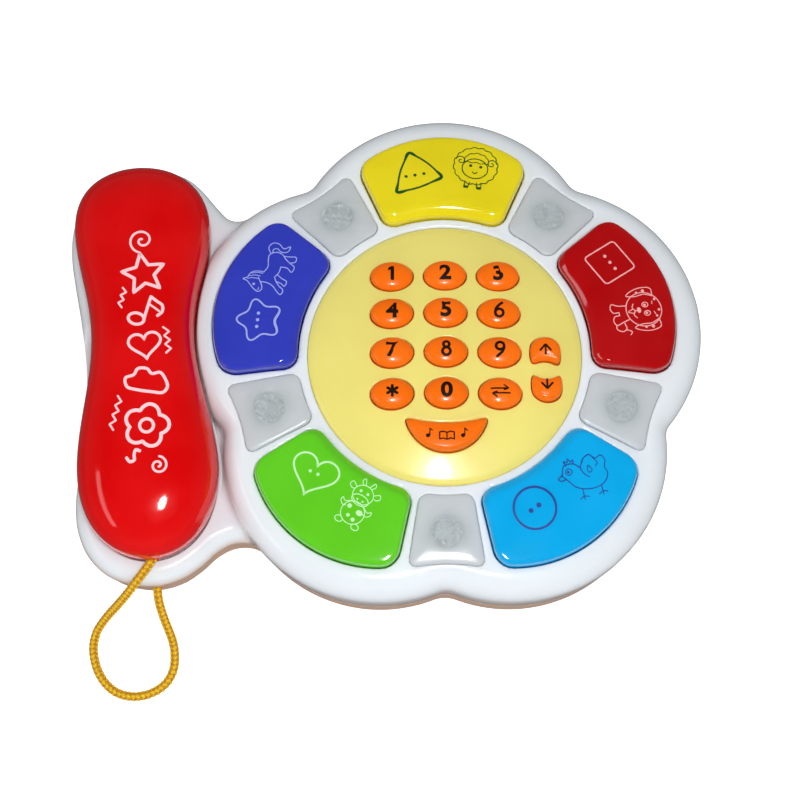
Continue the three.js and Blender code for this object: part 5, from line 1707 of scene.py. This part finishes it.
def lower_shell():
    nrm = loop_normals(UB)
    lv = []
    def level(zf, fin, cin):
        return np.column_stack([UB - nrm * np.where(UB_KIND == 0, fin, cin)[:, None], np.full(len(UB), zf)])
    prof = [(14.75, 1.75, 1.05), (14.85, 1.62, 0.92), (13.0, 1.85, 1.15), (9.0, 2.3, 1.6), (5.0, 2.75, 2.0), (2.4, 3.1, 2.3), (1.2, 3.35, 2.5), (0.5, 3.75, 2.85), (0.12, 4.3, 3.3), (0.0, 4.9, 3.9)]
    prof = prof[1:]
    rings = [level(z, a, c) for z, a, c in prof]
    # bottom plate: openings
    outer = rings[-1][:, :2]
    cover = np.array([[-28.9, -46.5], [-5.3, -46.5], [-5.3, -57.1], [5.3, -57.1], [5.3, -46.5], [28.9, -46.5], [28.9, -2.5], [-28.9, -2.5]])
    holes = [("cover", resample(cover, 1.5, True))]
    for y in (30, 36, 42, 48, 54, 60):
        h = math.sqrt(18 ** 2 - (y - 45) ** 2)
        holes.append(("slot", rounded_rect(-h, h, y - 1.2, y + 1.2, 1.15)))
    holes.append(("switch", rounded_rect(45, 63, 16.5, 24.5, 1.2)))
    for x, y in SCREWS:
        holes.append(("screw", circle(2.7, 28, x, y)))
    # extra rings of points round each opening, for the triangulation
    loops = [h[1] for h in holes]
    extra = []
    for L in loops:
        nn = loop_normals(L)
        for s in (0.12, 0.3, 0.7):
            extra.append(np.column_stack([L + nn * s, np.zeros(len(L))]))
    E = np.vstack(extra)
    g = grid_points((-143, 100, -100, 100), 5.0)
    ok = np.maximum(flower_inset(g[:, 0], g[:, 1]), cradle_inset(g[:, 0], g[:, 1])) > 6.0
    g = g[ok]
    allp = np.vstack([E[:, :2], thin(g, np.vstack(loops + [E[:, :2]]), 1.2)])
    ok = inside_poly(outer, allp[:, 0], allp[:, 1])
    for h in loops:
        ok &= ~inside_poly(h, allp[:, 0], allp[:, 1])
    allp = allp[ok]
    vo, faces, back, sizes = cdt(outer, loops, allp)
    z = np.zeros(len(vo))
    s = sizes[0]
    edge = {}
    for (kind, _), L in zip(holes, sizes[1:]):
        for i in range(L):
            edge[back[s + i]] = kind; z[back[s + i]] = 0.16
        s += L
    V = [np.column_stack([vo, z])]; F = [tuple(f[::-1]) for f in faces]
    n0 = len(vo)
    prev = [back[i] for i in range(sizes[0])]
    nb = len(UB)
    for R in rings[-2::-1]:
        V.append(R); cur = list(range(n0, n0 + nb)); n0 += nb
        for i in range(nb):
            j = (i + 1) % nb
            F.append((prev[i], prev[j], cur[j], cur[i]))
        prev = cur
    inn = [level(14.85, 3.7, 3.0), level(6.0, 4.4, 3.8), level(2.2, 5.6, 4.9)]
    for R in inn:
        V.append(R); cur = list(range(n0, n0 + nb)); n0 += nb
        for i in range(nb):
            j = (i + 1) % nb
            F.append((prev[i], prev[j], cur[j], cur[i]))
        prev = cur
    # inside floor
    low = np.column_stack([vo, np.full(len(vo), 2.2)])
    V.append(low); nl = n0; n0 += len(vo)
    F += [tuple(nl + i for i in f) for f in faces]
    cur = [nl + back[i] for i in range(sizes[0])]
    for i in range(nb):
        j = (i + 1) % nb
        F.append((prev[i], prev[j], cur[j], cur[i]))
    s = sizes[0]
    for (kind, _), L in zip(holes, sizes[1:]):
        idx = [back[s + i] for i in range(L)]
        for i in range(L):
            a, b2 = idx[i], idx[(i + 1) % L]
            F.append((a, b2, nl + b2, nl + a))
        s += L
    b = Build().add(np.vstack(V), F, 0)
    def boxx(x0, x1, y0, y1, z0, z1, r=0.4, flip=False):
        q = rounded_rect(x0, x1, y0, y1, r, 3)
        v, f = loft([z_on(q, z0), z_on(q, z1)])
        b.add(v, [tuple(reversed(t)) for t in f] if flip else f, 0)
    # battery compartment: four walls and a roof
    boxx(-33, 33, -50.6, -48.6, 1.0, 19.6); boxx(-33, 33, -0.4, 1.6, 1.0, 19.6)
    boxx(-33, -31, -48.6, -0.4, 1.0, 19.6); boxx(31, 33, -48.6, -0.4, 1.0, 19.6)
    boxx(-31, 31, -48.6, -0.4, 17.6, 19.6)
    boxx(-31, -29.2, -48.6, -0.4, 1.9, 3.6); boxx(29.2, 31, -48.6, -0.4, 1.9, 3.6)
    for y in (-32.2, -17.0):
        boxx(-30, -22, y - 0.5, y + 0.5, 12, 17.6, 0.2); boxx(22, 30, y - 0.5, y + 0.5, 12, 17.6, 0.2)
    boxx(-6.5, 6.5, -58.4, -50.6, 2.25, 8.8)
    # switch recess floor with its slot
    q = rounded_rect(45, 63, 16.5, 24.5, 1.2); w = rounded_rect(47, 61, 18, 23, 1.0)
    v, f = loft([z_on(q, 1.0), z_on(q, 2.2), z_on(w, 2.2), z_on(w, 1.0), z_on(q, 1.0)], False, False)
    b.add(v, f, 0)
    for x, y in SCREWS:
        v, f = loft([z_on(circle(2.7, 28, x, y), 0.6), z_on(circle(3.4, 28, x, y), 0.9), z_on(circle(3.4, 28, x, y), 9), z_on(circle(1.8, 28, x, y), 9), z_on(circle(1.8, 28, x, y), 5), z_on(circle(2.7, 28, x, y), 5), z_on(circle(2.7, 28, x, y), 0.6)], False, False)
        b.add(v, f, 0)
    # eyelet round the cord's hole in the front wall
    gg = []
    for r, y in ((1.75, -75.0), (2.5, -75.0), (2.5, -78.25), (2.2, -78.75), (1.75, -78.4), (1.75, -75.0)):
        t = np.arange(28) * 2 * np.pi / 28
        gg.append(np.column_stack([-105 + r * np.cos(t), np.full(28, y), 8.4 + r * np.sin(t)]))
    v, f = loft(gg, False, False)
    b.add(v, f, 0)
    o = b.obj("lower_shell", [LOWER], sharp=40)
    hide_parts("base_bottom_shell"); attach(o, "base")


lower_shell()


def battery_door():
    out = np.array([[-28.6, -46.2], [-5.0, -46.2], [-5.0, -56.8], [5.0, -56.8], [5.0, -46.2], [28.6, -46.2], [28.6, -2.8], [-28.6, -2.8]])
    L = resample(out, 1.0, True)
    nn = loop_normals(L)
    hole = circle(2.1, 24, 0, -53.6)
    inset = L - nn * 0.35
    # ribs of the thumb grip: raised bars near the far edge
    pts = []
    g = grid_points((-28, 28, -56, -3), 2.0)
    ok = inside_poly(L - nn * 1.0, g[:, 0], g[:, 1]) & (np.hypot(g[:, 0], g[:, 1] + 53.6) > 2.9)
    g = g[ok]
    vo, faces, back, sizes = cdt(L - nn * 0.3, [hole], g)
    z = np.zeros(len(vo)); n1 = len(vo)
    V = [np.column_stack([vo, z]), np.column_stack([vo, np.full(n1, 1.9)])]
    F = [tuple(f[::-1]) for f in faces] + [tuple(n1 + i for i in f) for f in faces]
    n0 = 2 * n1; m = sizes[0]
    prev = [back[i] for i in range(m)]
    for ins, zz in ((0.12, 0.06), (0.0, 0.3), (0.0, 1.9)):
        V.append(z_on(L - nn * ins, zz)); cur = list(range(n0, n0 + m)); n0 += m
        for i in range(m):
            j = (i + 1) % m
            F.append((prev[i], prev[j], cur[j], cur[i]))
        prev = cur
    cur = [n1 + back[i] for i in range(m)]
    for i in range(m):
        j = (i + 1) % m
        F.append((prev[i], prev[j], cur[j], cur[i]))
    idx = [back[m + i] for i in range(sizes[1])]
    for i in range(len(idx)):
        a, b2 = idx[i], idx[(i + 1) % len(idx)]
        F.append((a, b2, n1 + b2, n1 + a))
    b = Build().add(np.vstack(V), F, 0)
    for x in np.arange(-9, 9.1, 2.25):                        # grip ribs, flush with the floor side
        q = rounded_rect(x - 0.45, x + 0.45, -12, -6, 0.4, 4)
        c = q.mean(0)
        v, f = loft([z_on(q, 0.5), z_on(q, -0.0), z_on(c + (q - c) * 0.7, -0.02)])
        b.add(v, [tuple(reversed(t)) for t in f], 0)
    o = b.obj("battery_door", [LOWER], sharp=40)
    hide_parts("battery_cover"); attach(o, "battery_cover")


battery_door()


def screw(name, node, x, y, z, length, head, body):
    """pan head facing down, with a cross recess"""
    n = 32
    b = Build()
    t = np.arange(n) * 2 * np.pi / n
    def ring(r, zz, cross=0.0, depth=0.0):
        rr = np.full(n, float(r))
        q = np.column_stack([x + rr * np.cos(t), y + rr * np.sin(t)])
        return z_on(q, zz)
    rings = [ring(head * 0.98, z + 0.5), ring(head, z + 0.75), ring(head, z + 1.4), ring(head * 0.95, z + 1.7), ring(1.1, z + 2.0)]
    zz = z + 2.2
    while zz < z + length - 0.4:
        rings += [ring(1.02, zz), ring(1.28, zz + 0.25), ring(1.02, zz + 0.5)]
        zz += 0.8
    rings.append(ring(0.2, z + length + 0.7))
    v, f = loft(rings, False, True)
    b.add(v, f, 0)
    # head face with the cross cut in it
    arms = []
    w, a = head * 0.17, head * 0.62
    P = [[a, -w], [a, w], [w, w], [w, a], [-w, a], [-w, w], [-a, w], [-a, -w], [-w, -w], [-w, -a], [w, -a], [w, -w]]
    X = np.array(P) + [x, y]
    outer = np.column_stack([x + head * 0.98 * np.cos(t), y + head * 0.98 * np.sin(t)])
    vo, faces, back, sizes = cdt(outer, [X], circle(head * 0.8, 24, x, y))
    r = np.hypot(vo[:, 0] - x, vo[:, 1] - y)
    zt = z + 0.5 - 0.45 * (1 - (r / head) ** 2) ** 1.0
    V = [np.column_stack([vo, zt])]; F = [tuple(q[::-1]) for q in faces]
    idx = [back[sizes[0] + i] for i in range(12)]
    V.append(np.column_stack([X, np.full(12, z + 1.1)]))
    m = len(vo)
    for i in range(12):
        j = (i + 1) % 12
        F.append((idx[i], idx[j], m + j, m + i))
    F.append(tuple(m + i for i in range(11, -1, -1)))
    b.add(np.vstack(V), F, 0)
    o = b.obj(name, [STEEL], sharp=35)
    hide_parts(node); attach(o, body)


for _i, (_x, _y) in enumerate(SCREWS):
    screw("crosshead_%d" % (_i + 1), "case_screw_%d" % (_i + 1), _x, _y, 2.6, 18 if _i < 5 else 10, 2.3, "base")
screw("crosshead_door", "battery_cover_screw", 0, -53.6, 0.25, 6, 1.7, "battery_cover")
for _i, _t0 in enumerate((50, -46)):
    _x, _y = hs_world(0, _t0)
    screw("crosshead_handset_%d" % (_i + 1), "handset_screw_%d" % (_i + 1), float(_x), float(_y), 20.0, 16, 2.3, "handset")


# ------------------------------------------------------------------ small and inner parts
def power_knob():
    b = Build()
    q = rounded_rect(44, 57.6, 16.9, 24.1, 0.8)
    v, f = loft([z_on(q, 2.5), z_on(q, 3.6)])
    b.add(v, f, 0)
    prev = None
    w = rounded_rect(47.6, 53, 18.4, 22.6, 0.7)
    c = w.mean(0)
    v, f = loft([z_on(w, 3.0), z_on(w, 0.85), z_on(c + (w - c) * 0.95, 0.6), z_on(c + (w - c) * 0.86, 0.5)])
    b.add(v, [tuple(reversed(t)) for t in f], 0)
    for i in range(5):
        x = 48.5 + i * 0.9
        r = rounded_rect(x - 0.2, x + 0.2, 18.9, 22.1, 0.18, 3)
        v, f = loft([z_on(r, 0.7), z_on(r, 0.34), z_on(r.mean(0) + (r - r.mean(0)) * 0.6, 0.28)])
        b.add(v, [tuple(reversed(t)) for t in f], 0)
    o = b.obj("power_knob", [BLACK_AND_HOLE_SHADE], sharp=35)
    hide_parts("power_switch"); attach(o, "power_switch")


power_knob()


def repaint(node, mat, slot=None, sharp=32):
    o = NODES[node]
    o.data.materials.clear(); o.data.materials.append(mat)
    o.data.shade_smooth()
    o.data.set_sharp_from_angle(angle=math.radians(sharp))


SILICONE = plastic("grey_silicone", (120, 122, 124), 0.6, 0.08, grain=0.00003, grain_scale=1500)


def board():
    m, nt, b = new_mat("green_board")
    vec = obj_coord(nt)
    br = nt.nodes.new("ShaderNodeTexBrick")
    br.inputs["Scale"].default_value = 160.0
    br.inputs["Color1"].default_value = srgb(24, 104, 58); br.inputs["Color2"].default_value = srgb(30, 122, 66); br.inputs["Mortar"].default_value = srgb(52, 150, 84)
    br.inputs["Mortar Size"].default_value = 0.06
    nt.links.new(vec, br.inputs["Vector"])
    cloud = ramp(nt, noise(nt, 60.0, 4.0, 0.6, vec), 0.4, 0.6)
    nt.links.new(mix_color(nt, cloud, srgb(22, 96, 52), br.outputs["Color"]), b.inputs["Base Color"])
    b.inputs["Roughness"].default_value = 0.35
    return m


def battery_mat():
    m, nt, b = new_mat("battery_sleeve")
    vec = obj_coord(nt)
    sep = nt.nodes.new("ShaderNodeSeparateXYZ"); nt.links.new(vec, sep.inputs[0])
    band = ramp(nt, sep.outputs["X"], 0.0395, 0.0400)
    nt.links.new(mix_color(nt, band, srgb(46, 92, 74), srgb(190, 160, 96)), b.inputs["Base Color"])
    nt.links.new(ramp(nt, noise(nt, 500.0, 3.0, 0.5, vec), 0.3, 0.7, 0.22, 0.38), b.inputs["Roughness"])
    b.inputs["Metallic"].default_value = 0.55
    return m


LEDM = plastic("led_resin", (214, 62, 44), 0.12, 0.05, coat=0.4)
SPK = plastic("speaker_frame", (48, 50, 54), 0.5, 0.12, grain=0.00006, grain_scale=1300)
repaint("keypad_rubber_mat", SILICONE)
repaint("main_pcb", board())
for _i in range(1, 6):
    repaint("led_%d" % _i, LEDM)
repaint("speaker", SPK)
_bm = battery_mat()
for _i in range(1, 4):
    repaint("battery_%d" % _i, _bm)
repaint("battery_contact_plus", PLATED); repaint("battery_contact_spring", PLATED)


def contact_springs():
    """coil springs that press on the cells' flat ends"""
    b = Build()
    for y, flip in ((-39.9, 0), (-24.6, 1), (-9.3, 0)):
        sx = 1 if flip else -1
        t = np.linspace(0, 4 * 2 * np.pi, 120)
        r = 4.6 - 2.2 * t / t[-1]
        x0 = sx * 27.2
        P = np.column_stack([x0 - sx * (0.35 + 1.5 * t / t[-1]), y + r * np.cos(t), 10 + r * np.sin(t)])
        v, f = tube(P, 0.28, 8)
        b.add(v, f, 0)
    o = b.obj("coil_contacts", [PLATED], sharp=50)
    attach(o, "base")


contact_springs()

# ------------------------------------------------------------------ stage and light
def stage():
    me = bpy.data.meshes.new("floor")
    s = 4.0
    me.from_pydata([(-s, -s, 0), (s, -s, 0), (s, s, 0), (-s, s, 0)], [], [(0, 1, 2, 3)])
    m, nt, b = new_mat("paper_white")
    lp = nt.nodes.new("ShaderNodeLightPath")
    b.inputs["Emission Color"].default_value = (1, 1, 1, 1)
    nt.links.new(mix_color(nt, lp.outputs["Is Glossy Ray"], (0.92, 0.92, 0.92, 1), (0.06, 0.06, 0.06, 1)), b.inputs["Base Color"])
    nt.links.new(ramp(nt, lp.outputs["Is Camera Ray"], 0.0, 1.0, 0.04, 0.64), b.inputs["Emission Strength"])
    b.inputs["Roughness"].default_value = 0.9
    b.inputs["Specular IOR Level"].default_value = 0.1
    me.materials.append(m)
    bk = nt.nodes.new("ShaderNodeNewGeometry")                    # see-through from below, so the underside can be looked at
    tr = nt.nodes.new("ShaderNodeBsdfTransparent")
    mx = nt.nodes.new("ShaderNodeMixShader")
    nt.links.new(bk.outputs["Backfacing"], mx.inputs[0])
    nt.links.new(b.outputs[0], mx.inputs[1]); nt.links.new(tr.outputs[0], mx.inputs[2])
    nt.links.new(mx.outputs[0], next(n for n in nt.nodes if n.type == "OUTPUT_MATERIAL").inputs[0])
    o = link(bpy.data.objects.new("floor", me))
    o.location.z = -0.0004
    w = bpy.data.worlds.new("studio")
    bpy.context.scene.world = w
    w.use_nodes = True
    nt = w.node_tree
    bg = nt.nodes["Background"]
    bg.inputs[0].default_value = (1, 1, 1, 1)
    tc = nt.nodes.new("ShaderNodeTexCoord")
    sep = nt.nodes.new("ShaderNodeSeparateXYZ")
    nt.links.new(tc.outputs["Generated"], sep.inputs[0])
    lp = nt.nodes.new("ShaderNodeLightPath")
    near = ramp(nt, sep.outputs["Z"], 0.2, 0.8, 0.14, 0.05)       # what the gloss mirrors: dim room
    mg = nt.nodes.new("ShaderNodeMix"); mg.data_type = "FLOAT"
    nt.links.new(lp.outputs["Is Glossy Ray"], mg.inputs[0])
    mg.inputs[2].default_value = 0.34
    nt.links.new(near, mg.inputs[3])
    mc = nt.nodes.new("ShaderNodeMix"); mc.data_type = "FLOAT"
    nt.links.new(lp.outputs["Is Camera Ray"], mc.inputs[0])
    nt.links.new(mg.outputs[0], mc.inputs[2])
    mc.inputs[3].default_value = 1.0
    nt.links.new(mc.outputs[0], bg.inputs[1])

    def area(name, loc, target, size, power, sy=None, col=(1, 1, 1)):
        l = bpy.data.lights.new(name, "AREA")
        l.energy = power; l.size = size; l.color = col
        if sy:
            l.shape = "RECTANGLE"; l.size_y = sy
        o = link(bpy.data.objects.new(name, l))
        o.location = loc
        d = Vector(target) - Vector(loc)
        o.rotation_euler = d.to_track_quat("-Z", "Y").to_euler()
        return o
    c = Vector((SX, SY, 0.02))
    cp = Vector(CAM_POS)
    k = area("key", cp + Vector((0.07, 0.0, 0.04)), c, 0.3, 2.55)
    k.visible_glossy = False
    k = area("front", (c.x - 0.05, c.y - 1.05, 0.42), c, 0.95, 1.6, sy=0.42)
    k.visible_glossy = False
    fl = bpy.data.lights.new("flash", "AREA")
    fl.energy = 1.3; fl.shape = "ELLIPSE"; fl.size = 0.075; fl.size_y = 0.12
    o = link(bpy.data.objects.new("flash", fl))
    o.location = cp + Vector((0.012, 0.055, 0.0))
    o.rotation_euler = (c - o.location).to_track_quat("-Z", "Y").to_euler()
    loc = Vector((c.x - 0.70, c.y - 0.24, 0.55))
    k = area("side", loc, c, 0.12, 0.55, sy=0.62)
    z = (loc - c).normalized()
    y = (Vector((0, 1, 0)) - z * z.y).normalized()
    k.rotation_euler = Matrix((y.cross(z), y, z)).transposed().to_euler()


stage()
bpy.context.scene.view_settings.view_transform = "Standard"
bpy.context.scene.view_settings.look = "None"
bpy.context.scene.view_settings.exposure = 0.0
